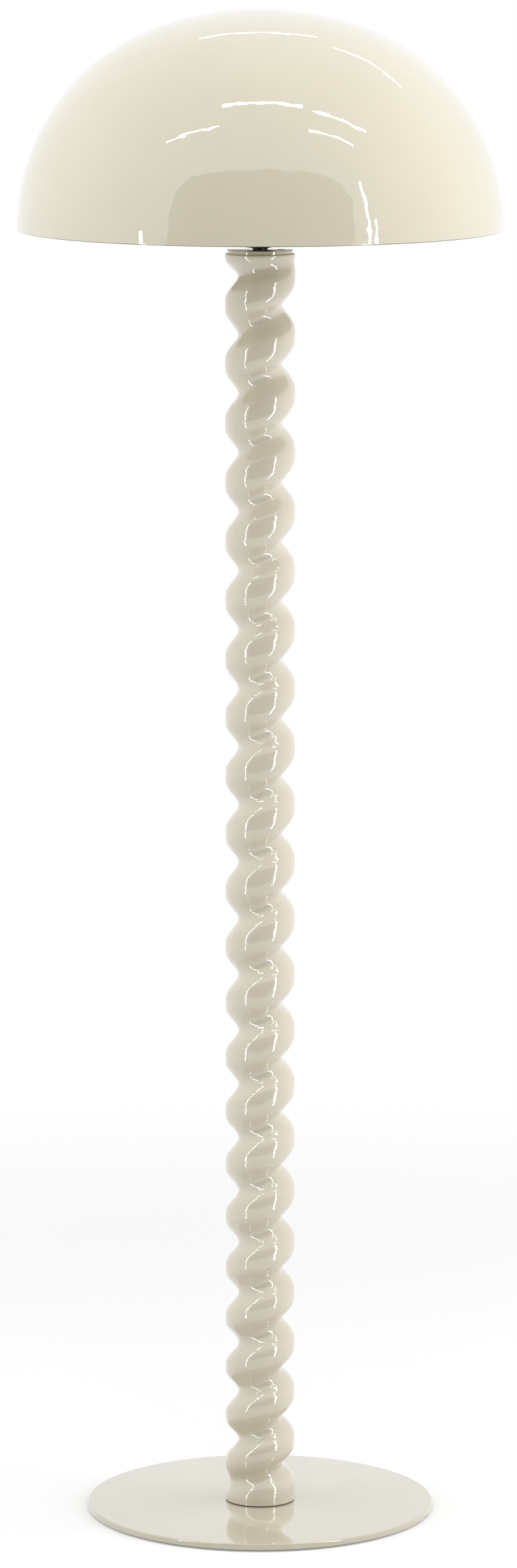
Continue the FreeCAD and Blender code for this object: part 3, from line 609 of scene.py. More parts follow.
def make_dome():
    """Spun dome, its rim folded inwards to a double thickness."""
    outside = dome_arc(0, HEM_ROLL * 2, 72)
    inside = dome_arc(SHADE_WALL, HEM_HEIGHT, 60)
    hem_inner = SHADE_RADIUS - 2 * SHADE_WALL
    hem = outline_of([
        (inside[0].x, HEM_HEIGHT),
        (hem_inner, HEM_HEIGHT, HEM_ROLL),
        (hem_inner, 0, HEM_ROLL * 2),
        (SHADE_RADIUS, 0, HEM_ROLL * 2),
        (SHADE_RADIUS, HEM_ROLL * 2),
    ], False)
    points = inside[::-1] + hem[1:-1] + outside
    dome = turned("dome", points, False, 288, lift=level("shade_dome"))
    dressed(dome, dome_lacquer, "shade", "lacquered_shade", "shade_dome")


# ---------------- small pieces, in common

dice = random.Random(11)


def repeated(piece, places):
    """Makes a piece into a group of equal copies, one at each place."""
    builder = bmesh.new()
    for place in places:
        copy = piece.data.copy()
        copy.transform(place)
        builder.from_mesh(copy)
        bpy.data.meshes.remove(copy)
    builder.to_mesh(piece.data)
    builder.free()
    return piece


def circle_places(count, distance, height, heads_down=True):
    """Places evenly on a circle about the lamp's axis, each turned by chance about itself."""
    places = []
    for number in range(count):
        azimuth = FULL_TURN * number / count
        spin = Matrix.Rotation(dice.uniform(0, FULL_TURN), 4, "Z")
        flip = Matrix.Identity(4) if heads_down else Matrix.Rotation(math.pi, 4, "X")
        corner = (math.cos(azimuth) * distance * MM, math.sin(azimuth) * distance * MM, height)
        places.append(Matrix.Translation(corner) @ flip @ spin)
    return places


def bar_tool(name, length, width, depth, taper, turn=0.0):
    """Bar that cuts a slot upwards into an underside at z = 0, narrower at its far end."""
    builder = bmesh.new()
    bar = bmesh.ops.create_cube(builder, size=1)["verts"]
    for corner in bar:
        deep = corner.co.z > 0
        share = taper if deep else 1.0
        corner.co.x *= length * share * MM
        corner.co.y *= width * share * MM
        corner.co.z = (depth if deep else -0.5) * MM
    bmesh.ops.rotate(builder, verts=bar, matrix=Matrix.Rotation(turn, 3, "Z"))
    return smooth_piece(name, builder)


def both(*reliefs):
    """Sum of several reliefs."""
    def relief(place, azimuth):
        return sum(one(place, azimuth) for one in reliefs)
    return relief


def countersunk_screw(name, radius, length, pitch, depth):
    """Countersunk screw with a cross recess, its head down at z = 0."""
    head = 2 * radius - 0.1
    corners = [
        (0, 0),
        (head, 0, 0.12),
        (radius, radius, 0.5),
        (radius, length - radius, 0.3),
        (0, length),
    ]
    points = divided(outline_of(corners, False, 3), False, radius, length, pitch / 8)
    thread = thread_relief(radius + 1, length - radius, pitch, depth, radius)
    screw = turned(name, points, False, 64, thread)
    bars = [
        bar_tool(f"{name}_bar_{number}", 2.1 * radius, 0.42 * radius, 1.0 * radius, 0.45, turn)
        for number, turn in enumerate((0, math.pi / 2))
    ]
    return cut(screw, bars)


def rounded_plate(name, width, height, thickness, corner, edge):
    """Flat plate with round corners and eased edges, centred, its thickness along Z."""
    outline = outline_of([
        (-width / 2, -height / 2, corner),
        (width / 2, -height / 2, corner),
        (width / 2, height / 2, corner),
        (-width / 2, height / 2, corner),
    ], True, 6)
    builder = bmesh.new()
    low = [builder.verts.new((point.x * MM, point.y * MM, -thickness / 2 * MM)) for point in outline]
    high = [builder.verts.new((point.x * MM, point.y * MM, thickness / 2 * MM)) for point in outline]
    rims = [builder.faces.new(low[::-1]), builder.faces.new(high)]
    count = len(outline)
    for index in range(count):
        after = (index + 1) % count
        builder.faces.new((low[index], low[after], high[after], high[index]))
    edges = list({rim_edge for rim in rims for rim_edge in rim.edges})
    bmesh.ops.bevel(builder, geom=edges, offset=edge * MM, segments=3, affect="EDGES", profile=0.5)
    return smooth_piece(name, builder)


# ---------------- fixing of the column, lead inlet

INSERT_RADIUS, INSERT_BORE, INSERT_LENGTH = 3.6, 2.55, 12
BUSH_BORE, BUSH_BODY, BUSH_FLANGE = 3.6, 4.9, 7.5
BUSH_LENGTH, BUSH_FLANGE_THICKNESS = 13.5, 2
BUSH_BARB, BUSH_BARB_DEPTH = 2.2, 0.28


def make_column_screws():
    screws = countersunk_screw("foot_screws", FOOT_SCREW_RADIUS, FOOT_SCREW_LENGTH, 0.8, 0.40)
    repeated(screws, circle_places(FOOT_SCREWS, FOOT_SCREW_CIRCLE, level("column_screws")))
    dressed(screws, zinc, "lamp_stand", "zinc_steel", "column_screws")


def make_column_inserts():
    """Brass inserts: a coarse thread outside for the wood, a fine one inside for the screw."""
    corners = pipe_corners(INSERT_BORE, INSERT_RADIUS, INSERT_LENGTH, 0.2, 0.25)
    points = divided(outline_of(corners, True, 3), True, 0, INSERT_LENGTH, 0.1)
    threads = both(
        thread_relief(0.6, INSERT_LENGTH - 0.4, 2.0, 0.5, INSERT_RADIUS),
        thread_relief(0.4, INSERT_LENGTH - 0.4, 0.8, -0.35, INSERT_BORE),
    )
    inserts = turned("foot_inserts", points, True, 64, threads)
    repeated(inserts, circle_places(FOOT_SCREWS, FOOT_SCREW_CIRCLE, level("column_inserts")))
    dressed(inserts, brass, "lamp_stand", "brass", "column_inserts")


def make_cable_bush():
    """Flanged bush with barbs that hold it in the drilled foot, laid along +Y."""
    body_end = BUSH_LENGTH - BUSH_FLANGE_THICKNESS
    corners = [
        (BUSH_BORE, 0, 0.5),
        (BUSH_BODY, 0, 0.6),
        (BUSH_BODY, body_end),
        (BUSH_FLANGE, body_end, 0.2),
        (BUSH_FLANGE, BUSH_LENGTH, 1.1),
        (BUSH_BORE, BUSH_LENGTH, 0.9),
    ]

    def barbs(place, azimuth):
        if abs(place.x - BUSH_BODY) > 0.05 or place.y > body_end - 0.3 or place.y < 0.8:
            return 0.0
        return -BUSH_BARB_DEPTH * (place.y / BUSH_BARB % 1)

    points = divided(outline_of(corners, True, 6), True, 0, body_end, 0.2)
    bush = turned("inlet_bush", points, True, 96, barbs)
    bush.data.transform(Matrix.Rotation(-math.pi / 2, 4, "X"))
    axis_height = (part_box("cable_bush")[0].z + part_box("cable_bush")[1].z) / 2
    bush.data.transform(Matrix.Translation((0, (INLET_SEAT - body_end) * MM, axis_height)))
    dressed(bush, black_plastic, "lamp_stand", "black_plastic", "cable_bush")


# ---------------- top of the column

TOP_PLATE_RADIUS, TOP_PLATE_THICKNESS, TOP_PLATE_EDGE = 34, 4, 0.5
TOP_SCREWS, TOP_SCREW_CIRCLE, TOP_SCREW_RADIUS, TOP_SCREW_LENGTH = 3, 22, 2, 15
NIPPLE_RADIUS, NIPPLE_BORE, NIPPLE_LENGTH, NIPPLE_PITCH = 5, 3.5, 26, 1
WASHER_RADIUS, WASHER_THICKNESS, WASHER_TEETH, WASHER_NOTCH = 9, 1, 10, 1.9
NUT_FLATS, NUT_THICKNESS = 17, 4
FIT = 0.05


def make_top_plate():
    corners = [
        (NIPPLE_RADIUS + FIT, 0),
        (TOP_PLATE_RADIUS, 0, TOP_PLATE_EDGE),
        (TOP_PLATE_RADIUS, TOP_PLATE_THICKNESS, TOP_PLATE_EDGE),
        (NIPPLE_RADIUS + FIT, TOP_PLATE_THICKNESS),
    ]
    lift = level("top_plate")
    plate = turned("top_plate_steel", outline_of(corners, True, 5), True, 192, lift=lift)
    cut(plate, countersinks(
        TOP_SCREWS, TOP_SCREW_CIRCLE, TOP_SCREW_RADIUS, TOP_PLATE_THICKNESS, lift, False,
    ))
    dressed(plate, steel_lacquer, "lamp_stand", "lacquered_steel", "top_plate")


def make_top_plate_screws():
    screws = countersunk_screw("top_screws", TOP_SCREW_RADIUS, TOP_SCREW_LENGTH, 1.8, 0.55)
    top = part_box("top_plate_screws")[1].z
    repeated(screws, circle_places(TOP_SCREWS, TOP_SCREW_CIRCLE, top, False))
    dressed(screws, zinc, "lamp_stand", "zinc_steel", "top_plate_screws")


def make_holder_nipple():
    corners = pipe_corners(NIPPLE_BORE, NIPPLE_RADIUS, NIPPLE_LENGTH, 0.2, 0.4)
    points = divided(outline_of(corners, True, 3), True, 0, NIPPLE_LENGTH, NIPPLE_PITCH / 8)
    thread = thread_relief(0.5, NIPPLE_LENGTH - 0.5, NIPPLE_PITCH, 0.42, NIPPLE_RADIUS)
    nipple = turned("holder_tube", points, True, 96, thread, level("holder_nipple"))
    dressed(nipple, zinc, "lamp_stand", "zinc_steel", "holder_nipple")


def make_lock_washer():
    """Lock washer with inner teeth."""
    bore = NIPPLE_RADIUS + FIT
    corners = [
        (bore, 0),
        (WASHER_RADIUS, 0, 0.2),
        (WASHER_RADIUS, WASHER_THICKNESS, 0.2),
        (bore, WASHER_THICKNESS),
    ]

    def teeth(place, azimuth):
        in_notch = azimuth * WASHER_TEETH / FULL_TURN % 1 < 0.45
        return WASHER_NOTCH if in_notch and place.x < bore + 0.1 else 0.0

    points = outline_of(corners, True, 3)
    washer = turned("toothed_washer", points, True, 240, teeth, level("lock_washer"))
    dressed(washer, zinc, "lamp_stand", "zinc_steel", "lock_washer")


def make_nipple_locknut():
    """Flat hexagonal nut, chamfered on both faces."""
    bore = NIPPLE_RADIUS + FIT
    corner_radius = NUT_FLATS / 2 / math.cos(math.pi / 6)
    corners = [
        (bore, 0, 0.3),
        (corner_radius, 0),
        (corner_radius, NUT_THICKNESS),
        (bore, NUT_THICKNESS, 0.3),
    ]

    def hexagon(place, azimuth):
        if place.x < NUT_FLATS / 2:
            return 0.0
        flat = NUT_FLATS / 2 / math.cos(azimuth % (math.pi / 3) - math.pi / 6)
        near_end = min(place.y, NUT_THICKNESS - place.y)
        chamfer = NUT_FLATS / 2 - 0.2 + near_end / math.tan(math.pi / 6)
        return min(flat, chamfer) - place.x

    points = divided(outline_of(corners, True, 3), True, 0, NUT_THICKNESS, 0.1)
    thread = thread_relief(0.3, NUT_THICKNESS - 0.3, NIPPLE_PITCH, -0.3, bore)
    nut = turned("hexagon_nut", points, True, 192, both(hexagon, thread), level("nipple_locknut"))
    dressed(nut, zinc, "lamp_stand", "zinc_steel", "nipple_locknut")


# ---------------- lamp holder

HOLDER_NECK, HOLDER_NECK_HEIGHT, HOLDER_BOWL = 8, 1.5, 12.5
HOLDER_RADIUS = HOLDER_NECK + HOLDER_BOWL
HOLDER_HEIGHT, HOLDER_WALL, HOLDER_FLOOR = 24, 2, 12
SLEEVE_RADIUS, SLEEVE_BORE, SLEEVE_LEDGE, SLEEVE_SPIGOT = 19.5, 15.75, 12, 18.4
SPIGOT_LENGTH, SEAT_HEIGHT, FLANGE_HEIGHT, SLEEVE_LENGTH = 6, 8, 9, 40
SLEEVE_PITCH, SLEEVE_THREAD = 2.5, 0.85
CUP_RADIUS, CUP_BORE, CUP_FLOOR, CUP_LENGTH = 15.65, 14.15, 8, 30
TERMINAL_SPACING, TERMINAL_RADIUS, TERMINAL_HEAD = 8, 1.5, 2.7
TERMINAL_HEAD_HEIGHT, TERMINAL_LENGTH, TERMINAL_HOLE_DEPTH = 2, 6.5, 5
SHELL_BORE, SHELL_RADIUS, SHELL_LENGTH, BULB_PITCH = 13.5, 14.0, 20, 3.63
TONGUE_LENGTH, TONGUE_WIDTH, TONGUE_THICKNESS, TONGUE_SHIFT = 12, 5, 0.5, -3
BUTTON_RADIUS, BUTTON_HEIGHT = 2.5, 1


def bowl_outline():
    """Outside of the holder's cap, from its foot to its edge."""
    points = [Vector((HOLDER_NECK - 0.4, 0)), Vector((HOLDER_NECK, 0.4))]
    for step in range(25):
        angle = math.pi / 2 * step / 24
        reach = HOLDER_NECK + HOLDER_BOWL * math.sin(angle)
        points.append(Vector((reach, HOLDER_NECK_HEIGHT + HOLDER_BOWL * (1 - math.cos(angle)))))
    return points


def make_holder_cap():
    bore = NIPPLE_RADIUS + FIT
    rim = outline_of([
        (HOLDER_RADIUS, HOLDER_HEIGHT - 4),
        (HOLDER_RADIUS, HOLDER_HEIGHT, 0.3),
        (HOLDER_RADIUS - HOLDER_WALL, HOLDER_HEIGHT, 0.3),
        (HOLDER_RADIUS - HOLDER_WALL, HOLDER_FLOOR, 1.0),
        (bore, HOLDER_FLOOR),
    ], False)
    points = [Vector((bore, 0))] + bowl_outline() + rim
    cap = turned("holder_bowl", points, True, 128, lift=level("holder_cap"))
    dressed(cap, black_plastic, "lamp_stand", "black_plastic", "holder_cap")


def make_holder_sleeve():
    """Threaded sleeve that the two shade rings turn on."""
    corners = [
        (SLEEVE_LEDGE, 0, 0.3),
        (SLEEVE_SPIGOT, 0, 0.4),
        (SLEEVE_SPIGOT, SPIGOT_LENGTH),
        (HOLDER_RADIUS, SPIGOT_LENGTH, 0.3),
        (HOLDER_RADIUS, FLANGE_HEIGHT, 0.5),
        (SLEEVE_RADIUS, FLANGE_HEIGHT),
        (SLEEVE_RADIUS, SLEEVE_LENGTH, 0.8),
        (SLEEVE_BORE, SLEEVE_LENGTH, 0.6),
        (SLEEVE_BORE, SEAT_HEIGHT),
        (SLEEVE_LEDGE, SEAT_HEIGHT, 0.3),
    ]
    low, high = FLANGE_HEIGHT, SLEEVE_LENGTH
    points = divided(outline_of(corners, True, 5), True, low, high, SLEEVE_PITCH / 10)
    thread = thread_relief(low + 0.5, high - 0.5, SLEEVE_PITCH, SLEEVE_THREAD, SLEEVE_RADIUS)
    sleeve = turned("holder_thread", points, True, 128, thread, level("holder_sleeve"))
    dressed(sleeve, black_plastic, "lamp_stand", "black_plastic", "holder_sleeve")


def make_holder_insert():
    """Glazed cup that carries the contacts, with two terminal holes in its underside."""
    corners = [
        (0, 0),
        (CUP_RADIUS, 0, 0.6),
        (CUP_RADIUS, CUP_LENGTH, 0.7),
        (CUP_BORE, CUP_LENGTH, 0.6),
        (CUP_BORE, CUP_FLOOR, 0.5),
        (0, CUP_FLOOR),
    ]
    cup = turned("ceramic_cup", outline_of(corners, False, 5), False, 128, lift=level("holder_insert"))
    hole = TERMINAL_RADIUS + FIT
    low, high = -TOOL_OVERLAP, TERMINAL_HOLE_DEPTH
    drill = outline_of([(0, low), (hole, low), (hole, high), (0, high)], False)
    tools = []
    for side in (-1, 1):
        tool = turned("terminal_drill", drill, False, 40, lift=level("holder_insert"))
        tool.data.transform(Matrix.Translation((side * TERMINAL_SPACING * MM, 0, 0)))
        tools.append(tool)
    cut(cup, tools)
    dressed(cup, ceramic, "lamp_stand", "ceramic", "holder_insert")


def make_terminal_screws():
    """Cheese-head terminal screws with a slot, heads down."""
    corners = [
        (0, 0),
        (TERMINAL_HEAD, 0, 0.5),
        (TERMINAL_HEAD, TERMINAL_HEAD_HEIGHT, 0.2),
        (TERMINAL_RADIUS, TERMINAL_HEAD_HEIGHT),
        (TERMINAL_RADIUS, TERMINAL_LENGTH, 0.4),
        (0, TERMINAL_LENGTH),
    ]
    low, high = TERMINAL_HEAD_HEIGHT, TERMINAL_LENGTH
    points = divided(outline_of(corners, False, 4), False, low, high, 0.07)
    thread = thread_relief(low + 0.3, high - 0.2, 0.5, 0.22, TERMINAL_RADIUS)
    screws = turned("contact_screws", points, False, 64, thread)
    cut(screws, [bar_tool("screw_slot", 2.4 * TERMINAL_HEAD, 0.7, 1.0, 1.0)])
    repeated(screws, circle_places(2, TERMINAL_SPACING, level("terminal_screws")))
    dressed(screws, brass, "lamp_stand", "brass", "terminal_screws")


def make_screw_shell():
    """Thin shell whose wall is rolled into the thread of the bulb's cap."""
    corners = pipe_corners(SHELL_BORE, SHELL_RADIUS, SHELL_LENGTH, 0.15, 0.15)
    middle = (SHELL_BORE + SHELL_RADIUS) / 2
    points = divided(outline_of(corners, True, 3), True, 0, SHELL_LENGTH, BULB_PITCH / 14)
    thread = thread_relief(1.0, SHELL_LENGTH - 1.5, BULB_PITCH, 0.34, middle)
    shell = turned("rolled_shell", points, True, 128, thread, level("screw_shell"))
    dressed(shell, nickel, "lamp_stand", "nickel_brass", "screw_shell")


def make_centre_contact():
    """Sprung tongue with a pressed button."""
    tongue = rounded_plate("contact_tongue", TONGUE_LENGTH, TONGUE_WIDTH, TONGUE_THICKNESS, 1.6, 0.12)
    foot = level("centre_contact")
    tongue.data.transform(Matrix.Translation((TONGUE_SHIFT * MM, 0, foot + TONGUE_THICKNESS / 2 * MM)))
    button = outline_of([
        (0, 0.1),
        (BUTTON_RADIUS, 0.1),
        (BUTTON_RADIUS - 0.4, 0.75 * BUTTON_HEIGHT, 0.4),
        (0.9, BUTTON_HEIGHT, 0.8),
        (0, BUTTON_HEIGHT),
    ], False, 5)
    knob = turned("contact_button", button, False, 64, lift=foot)
    combined(tongue, [knob], "UNION")
    dressed(tongue, brass, "lamp_stand", "brass", "centre_contact")


# ---------------- rings and spider of the shade

RING_RADIUS, RING_BORE, RING_CHAMFER = 27, 19.6, 1.0
LOWER_RING_HEIGHT, UPPER_RING_HEIGHT = 6, 7
RING_GRIPS, RING_GRIP_DEPTH = 30, 0.9
SPIDER_RADIUS, SPIDER_BORE, SPIDER_THICKNESS = 31, 20, 2
ARM_RADIUS, ARM_START, ARM_WELD = 2, 27.6, 1.0
ARM_AZIMUTHS = [math.pi / 2 + FULL_TURN * number / 3 for number in range(3)]
TAB_WIDTH, TAB_HEIGHT, TAB_THICKNESS, TAB_GAP = 14, 20, 1.2, 0.2


def make_shade_ring(node, body, name, height):
    """Moulded ring with finger grips outside and a thread inside."""
    corners = [
        (RING_BORE, 0, 0.3),
        (RING_RADIUS - RING_CHAMFER, 0, 0.3),
        (RING_RADIUS, RING_CHAMFER, 0.3),
        (RING_RADIUS, height - RING_CHAMFER, 0.3),
        (RING_RADIUS - RING_CHAMFER, height, 0.3),
        (RING_BORE, height, 0.3),
    ]

    def grips(place, azimuth):
        if place.x < RING_RADIUS - RING_CHAMFER - 0.2:
            return 0.0
        wave = math.cos(RING_GRIPS * azimuth)
        return -RING_GRIP_DEPTH * smooth_step((wave + 0.1) / 1.1)

    points = divided(outline_of(corners, True, 3), True, 0, height, 0.25)
    thread = thread_relief(0.4, height - 0.4, SLEEVE_PITCH, -0.7, RING_BORE)
    ring = turned(name, points, True, RING_GRIPS * 14, both(grips, thread), level(node))
    dressed(ring, black_plastic, body, "black_plastic", node)


def make_spider_ring():
    corners = pipe_corners(SPIDER_BORE, SPIDER_RADIUS, SPIDER_THICKNESS, 0.35, 0.35)
    ring = turned("spider_hub", outline_of(corners, True, 4), True, 160, lift=level("spider_ring"))
    dressed(ring, arm_lacquer, "shade", "white_steel", "spider_ring")


def arm_level():
    """Height of the arms' axes above the floor, in millimetres."""
    low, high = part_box("spider_arms")
    return (low.z + high.z) / 2 / MM


def wall_reach(height):
    """Radius of the dome's inner wall at a height above its rim."""
    side = SIDE_RADIUS - SHADE_WALL
    return SIDE_CENTRE + math.sqrt(side * side - height * height)


def spider_places(reach, lean):
    """Places of the spider's three parts: a reach out from the axis, leant about +Y."""
    out = Matrix.Translation((reach * MM, 0, arm_level() * MM))
    tilt = Matrix.Rotation(lean, 4, "Y")
    return [Matrix.Rotation(azimuth, 4, "Z") @ out @ tilt for azimuth in ARM_AZIMUTHS]


def make_spider_arms():
    """Three round wires, each with a bead of weld at both ends."""
    above_rim = arm_level() - level("shade_dome") / MM
    end = wall_reach(above_rim) - TAB_GAP - TAB_THICKNESS
    length = end - ARM_START
    points = [Vector((0, 0))]
    for step in range(9):
        share = step / 8
        bulge = ARM_WELD * 0.3 * math.sin(math.pi * share)
        points.append(Vector((ARM_RADIUS * math.sin(math.pi / 2 * share) + bulge, 4 * share)))
    points += [Vector((ARM_RADIUS, 6 + (length - 10) * step / 40)) for step in range(41)]
    for step in range(1, 9):
        share = step / 8
        points.append(Vector((ARM_RADIUS + ARM_WELD * share * share, length - 4 + 4 * share)))
    points.append(Vector((0, length)))
    arms = turned("spider_wires", points, False, 48)
    repeated(arms, spider_places(ARM_START, math.pi / 2))
    dressed(arms, arm_lacquer, "shade", "white_steel", "spider_arms")


def make_spider_tabs():
    """Small plates welded to the dome's wall, which the wires end on."""
    above_rim = arm_level() - level("shade_dome") / MM
    tilt = math.asin(above_rim / (SIDE_RADIUS - SHADE_WALL))
    centre = wall_reach(above_rim) - TAB_GAP - TAB_THICKNESS / 2
    tabs = rounded_plate("spider_feet", TAB_HEIGHT, TAB_WIDTH, TAB_THICKNESS, 3.0, 0.25)
    repeated(tabs, spider_places(centre, math.pi / 2 - tilt))
    dressed(tabs, arm_lacquer, "shade", "white_steel", "spider_tabs")


# ---------------- bulb

BULB_RADIUS, BULB_NECK, BULB_WALL, BULB_NECK_HEIGHT = 30, 12.4, 1, 1
BULB_FLARE = math.radians(36.87)
CAP_RADIUS, CAP_LENGTH, CAP_LIP, CAP_LIP_BORE = 13, 18, 3, 12.5
INSULATOR_TOP, INSULATOR_FOOT, INSULATOR_HEIGHT = 11, 5, 2.8
TIP_RADIUS, TIP_HEIGHT = 4.5, 1.2


def glass_outline(inset):
    """Envelope from its neck to its top, moved inwards by an inset."""
    ball = BULB_RADIUS - inset
    spread = math.cos(BULB_FLARE)
    flare = (BULB_RADIUS * spread - BULB_NECK) / (1 - spread)
    joint = BULB_NECK_HEIGHT + flare * math.sin(BULB_FLARE)
    centre = joint + BULB_RADIUS * math.sin(BULB_FLARE)
    points = [Vector((BULB_NECK - inset, 0))]
    for step in range(24):
        angle = BULB_FLARE * step / 24
        reach = BULB_NECK + flare - (flare + inset) * math.cos(angle)
        points.append(Vector((reach, BULB_NECK_HEIGHT + (flare + inset) * math.sin(angle))))
    for step in range(61):
        angle = -BULB_FLARE + (BULB_FLARE + math.pi / 2) * step / 60
        points.append(Vector((ball * math.cos(angle), centre + ball * math.sin(angle))))
    return points


def make_bulb_glass():
    points = glass_outline(BULB_WALL)[::-1] + glass_outline(0)
    glass = turned("opal_envelope", points, False, 160, lift=level("bulb_glass"))
    dressed(glass, opal, "bulb", "opal_glass", "bulb_glass")


def make_bulb_cap():
    """Rolled screw cap, with a plain collar that holds the glass."""
    seat = CAP_LENGTH - CAP_LIP
    corners = [
        (0, 0),
        (CAP_RADIUS - 1.2, 0, 0.6),
        (CAP_RADIUS, 1.2, 0.5),
        (CAP_RADIUS, CAP_LENGTH, 0.2),
        (CAP_LIP_BORE, CAP_LENGTH, 0.2),
        (CAP_LIP_BORE, seat),
        (0, seat),
    ]
    points = divided(outline_of(corners, False, 4), False, 0, CAP_LENGTH, BULB_PITCH / 14)
    thread = thread_relief(1.2, CAP_LENGTH - 3.5, BULB_PITCH, 0.95, CAP_RADIUS)
    cap = turned("screw_cap", points, False, 128, thread, level("bulb_cap"))
    dressed(cap, nickel, "bulb", "nickel_brass", "bulb_cap")


def make_bulb_tip():
    """Glass insulator and the solder-faced contact in its middle."""
    insulator_outline = outline_of([
        (0, 0),
        (INSULATOR_FOOT, 0, 0.3),
        (7.6, 0.9, 0.8),
        (INSULATOR_TOP - 0.6, INSULATOR_HEIGHT - 0.8, 0.6),
        (INSULATOR_TOP, INSULATOR_HEIGHT),
        (0, INSULATOR_HEIGHT),
    ], False, 6)
    insulator = turned("glass_insulator", insulator_outline, False, 96, lift=level("bulb_insulator"))
    dressed(insulator, vitrite, "bulb", "black_glass", "bulb_insulator")
    contact_outline = outline_of([
        (0, 0),
        (TIP_RADIUS - 1.2, 0, 0.8),
        (TIP_RADIUS, TIP_HEIGHT - 0.3, 0.25),
        (TIP_RADIUS, TIP_HEIGHT),
        (0, TIP_HEIGHT),
    ], False, 6)
    contact = turned("tip_contact", contact_outline, False, 96, lift=level("bulb_contact"))
    dressed(contact, brass, "bulb", "brass", "bulb_contact")


# ---------------- stage, light and camera

CAMERA_PLACE = (-0.0017, -6.744, 1.8285)
CAMERA_PITCH = 8.904
FOCAL_LENGTH = 150.92
WHITE = (1, 1, 1, 1)
STAGE_WHITE = 1.0
FILL_LIGHT = 0.06
FLOOR_COLOUR = 0.80
FLOOR_GLOW = 0.17
FLOOR_RADIUS = 12.0
FLOOR_FADE_START, FLOOR_FADE_END = 0.7, 2.2

ROOM_HALF_WIDTH = 3.1
ROOM_FRONT = -2.2
ROOM_BACK = 2.2
ROOM_HEIGHT = 3.1
WALL_LOW = 0.40
LEFT_RADIANCE, RIGHT_RADIANCE, CEILING_RADIANCE = 1.85, 2.60, 1.20
SOFTBOX_PLACE, SOFTBOX_WIDTH, SOFTBOX_HEIGHT, SOFTBOX_RADIANCE = (0, -4.2, 2.2), 3.0, 2.4, 2.45
SOFTBOX_TARGET = (0, 0, 1)
TUBE_WIDTH, TUBE_DROP, TUBE_RADIANCE = 0.05, 0.03, 16.0
# Tubes under the ceiling: from x, to x, y.
TUBES = (
    (-0.43, 0.51, -0.59),
    (0.63, 1.57, -0.62),
    (-1.51, -0.55, -1.02),
    (0.70, 1.61, -1.08),
    (-0.45, 0.43, 1.42),
    (0.59, 1.55, 1.12),
)
# Upright strips on the floor: name, x, y, height, width.
STRIPS = (
    ("left_strip", -0.459, -0.432, 1.375, 0.013),
    ("right_strip", 0.741, -0.714, 1.800, 0.020),
    ("far_right_strip", 0.777, -0.671, 1.480, 0.017),
)
STRIP_RADIANCE = 40.0
CARD_LEFT, CARD_RIGHT, CARD_TOP, CARD_ROUNDING = -1.95, 2.05, 2.88, 0.75
CARD_COLOUR, CARD_ROUGHNESS = (0.02, 0.02, 0.02), 0.9


def make_world():
    """White where it is seen, and a low even fill elsewhere."""
    world = bpy.data.worlds.new("studio")
    bpy.context.scene.world = world
    nodes = Nodes(world)
    fill = nodes.add("ShaderNodeBackground", Color=WHITE, Strength=FILL_LIGHT)
    plain = nodes.add("ShaderNodeBackground", Color=WHITE, Strength=STAGE_WHITE)
    nodes.mixed(nodes.seen_directly(), fill, plain, "ShaderNodeOutputWorld")


def floor_material():
    """Pale floor that takes the object's shadow and fades to plain white further out."""
    material = bpy.data.materials.new("stage_floor")
    nodes = Nodes(material)
    seen = nodes.seen_directly()
    matt = nodes.add("ShaderNodeBsdfDiffuse", Color=(FLOOR_COLOUR, FLOOR_COLOUR, FLOOR_COLOUR, 1))
    glow = nodes.add("ShaderNodeEmission")
    strength = nodes.add("ShaderNodeMapRange", To_Max=FLOOR_GLOW)
    nodes.join(seen, strength.inputs["Value"])
    nodes.join(strength.outputs["Result"], glow.inputs["Strength"])
    near = nodes.add("ShaderNodeAddShader")
    nodes.join(matt.outputs[0], near.inputs[0])
    nodes.join(glow.outputs[0], near.inputs[1])
    place = nodes.add("ShaderNodeTexCoord")
    distance = nodes.add("ShaderNodeVectorMath")
    distance.operation = "LENGTH"
    nodes.join(place.outputs["Object"], distance.inputs[0])
    fade = nodes.add("ShaderNodeMapRange", From_Min=FLOOR_FADE_START, From_Max=FLOOR_FADE_END)
    fade.interpolation_type = "SMOOTHSTEP"
    nodes.join(distance.outputs["Value"], fade.inputs["Value"])
    plain = nodes.add("ShaderNodeEmission", Strength=STAGE_WHITE)
    share = nodes.maths("MULTIPLY", fade.outputs["Result"], seen)
    nodes.mixed(share, near, plain, "ShaderNodeOutputMaterial")
    return material


def make_floor():
    builder = bmesh.new()
    bmesh.ops.create_circle(builder, cap_ends=True, segments=96, radius=FLOOR_RADIUS)
    floor = plain_piece("stage_floor", builder)
    floor.data.materials.append(floor_material())


def panel(name, centre, facing, width, height, radiance, mirrored):
    """Flat light of a radiance, its width level: it shows in reflections alone, or never in them."""
    light = bpy.data.lights.new(name, "AREA")
    light.shape = "RECTANGLE"
    light.size = width
    light.size_y = height
    light.energy = radiance * math.pi * width * height
    lamp = bpy.data.objects.new(name, light)
    lamp.location = centre
    lamp.rotation_mode = "QUATERNION"
    if abs(facing[0]) + abs(facing[1]) > 0:
        lamp.rotation_quaternion = Vector(facing).to_track_quat("-Z", "Y")
    lamp.visible_camera = False
    lamp.visible_diffuse = not mirrored
    lamp.visible_glossy = mirrored
    bpy.context.scene.collection.objects.link(lamp)
    return lamp


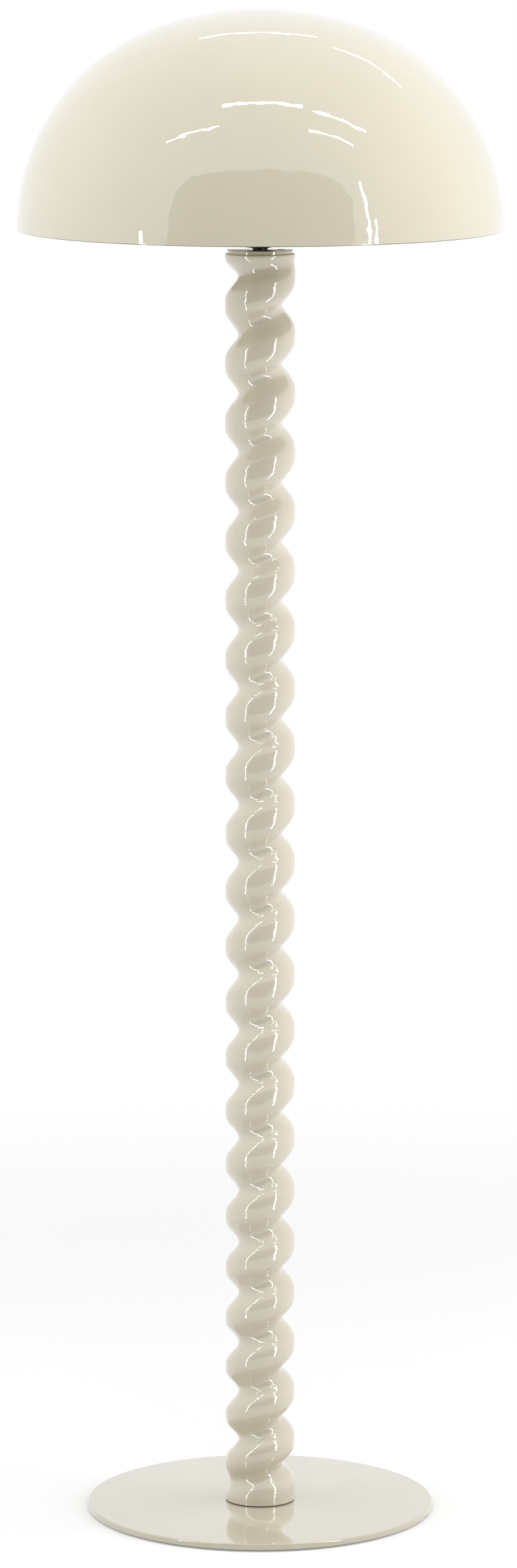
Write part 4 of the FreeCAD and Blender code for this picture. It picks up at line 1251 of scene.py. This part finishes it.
def make_lights():
    depth = ROOM_BACK - ROOM_FRONT
    middle = (ROOM_BACK + ROOM_FRONT) / 2
    tall = ROOM_HEIGHT - WALL_LOW
    for name, side, radiance in (("left_wall", -1, LEFT_RADIANCE), ("right_wall", 1, RIGHT_RADIANCE)):
        centre = (side * ROOM_HALF_WIDTH, middle, WALL_LOW + tall / 2)
        panel(name, centre, (-side, 0, 0), depth, tall, radiance, False)
    above = (0, middle, ROOM_HEIGHT)
    panel("ceiling", above, (0, 0, -1), 2 * ROOM_HALF_WIDTH, depth, CEILING_RADIANCE, False)
    towards = Vector(SOFTBOX_TARGET) - Vector(SOFTBOX_PLACE)
    panel("softbox", SOFTBOX_PLACE, towards, SOFTBOX_WIDTH, SOFTBOX_HEIGHT, SOFTBOX_RADIANCE, False)
    for number, (low, high, across) in enumerate(TUBES):
        centre = ((low + high) / 2, across, ROOM_HEIGHT - TUBE_DROP)
        panel(f"tube_{number}", centre, (0, 0, -1), high - low, TUBE_WIDTH, TUBE_RADIANCE, True)
    for name, x, y, top, width in STRIPS:
        panel(name, (x, y, top / 2), (-x, -y, 0), width, top, STRIP_RADIANCE, True)


def make_front_card():
    """Black card at the room's open front; only reflections show it."""
    outline = outline_of([
        (CARD_LEFT, 0),
        (CARD_RIGHT, 0),
        (CARD_RIGHT, CARD_TOP, CARD_ROUNDING),
        (CARD_LEFT, CARD_TOP, CARD_ROUNDING),
    ], True, 12)
    builder = bmesh.new()
    builder.faces.new([builder.verts.new((point.x, ROOM_FRONT, point.y)) for point in outline])
    card = plain_piece("front_card", builder)
    material = bpy.data.materials.new("card_black")
    material.use_nodes = True
    surface = material.node_tree.nodes["Principled BSDF"]
    surface.inputs["Base Color"].default_value = (*CARD_COLOUR, 1)
    surface.inputs["Roughness"].default_value = CARD_ROUGHNESS
    card.data.materials.append(material)
    card.visible_camera = False
    card.visible_diffuse = False
    card.visible_shadow = False


def make_camera():
    lens = bpy.data.cameras.new("camera")
    lens.lens = FOCAL_LENGTH
    lens.clip_end = 100
    camera = bpy.data.objects.new("camera", lens)
    camera.location = CAMERA_PLACE
    camera.rotation_euler = (math.radians(90 - CAMERA_PITCH), 0, 0)
    bpy.context.scene.collection.objects.link(camera)
    bpy.context.scene.camera = camera


# ---------------- put together

make_floor_pad()
make_base_plate()
make_column_screws()
make_column_inserts()
make_column()
make_cable_bush()
make_top_plate()
make_top_plate_screws()
make_holder_nipple()
make_lock_washer()
make_nipple_locknut()
make_holder_cap()
make_holder_sleeve()
make_holder_insert()
make_terminal_screws()
make_screw_shell()
make_centre_contact()
make_shade_ring("lower_shade_ring", "lamp_stand", "lower_grip_ring", LOWER_RING_HEIGHT)
make_shade_ring("upper_shade_ring", "shade_clamp", "upper_grip_ring", UPPER_RING_HEIGHT)
make_dome()
make_spider_ring()
make_spider_arms()
make_spider_tabs()
make_bulb_tip()
make_bulb_cap()
make_bulb_glass()

make_world()
make_floor()
make_front_card()
make_lights()
make_camera()
bpy.context.scene.view_settings.view_transform = "Standard"
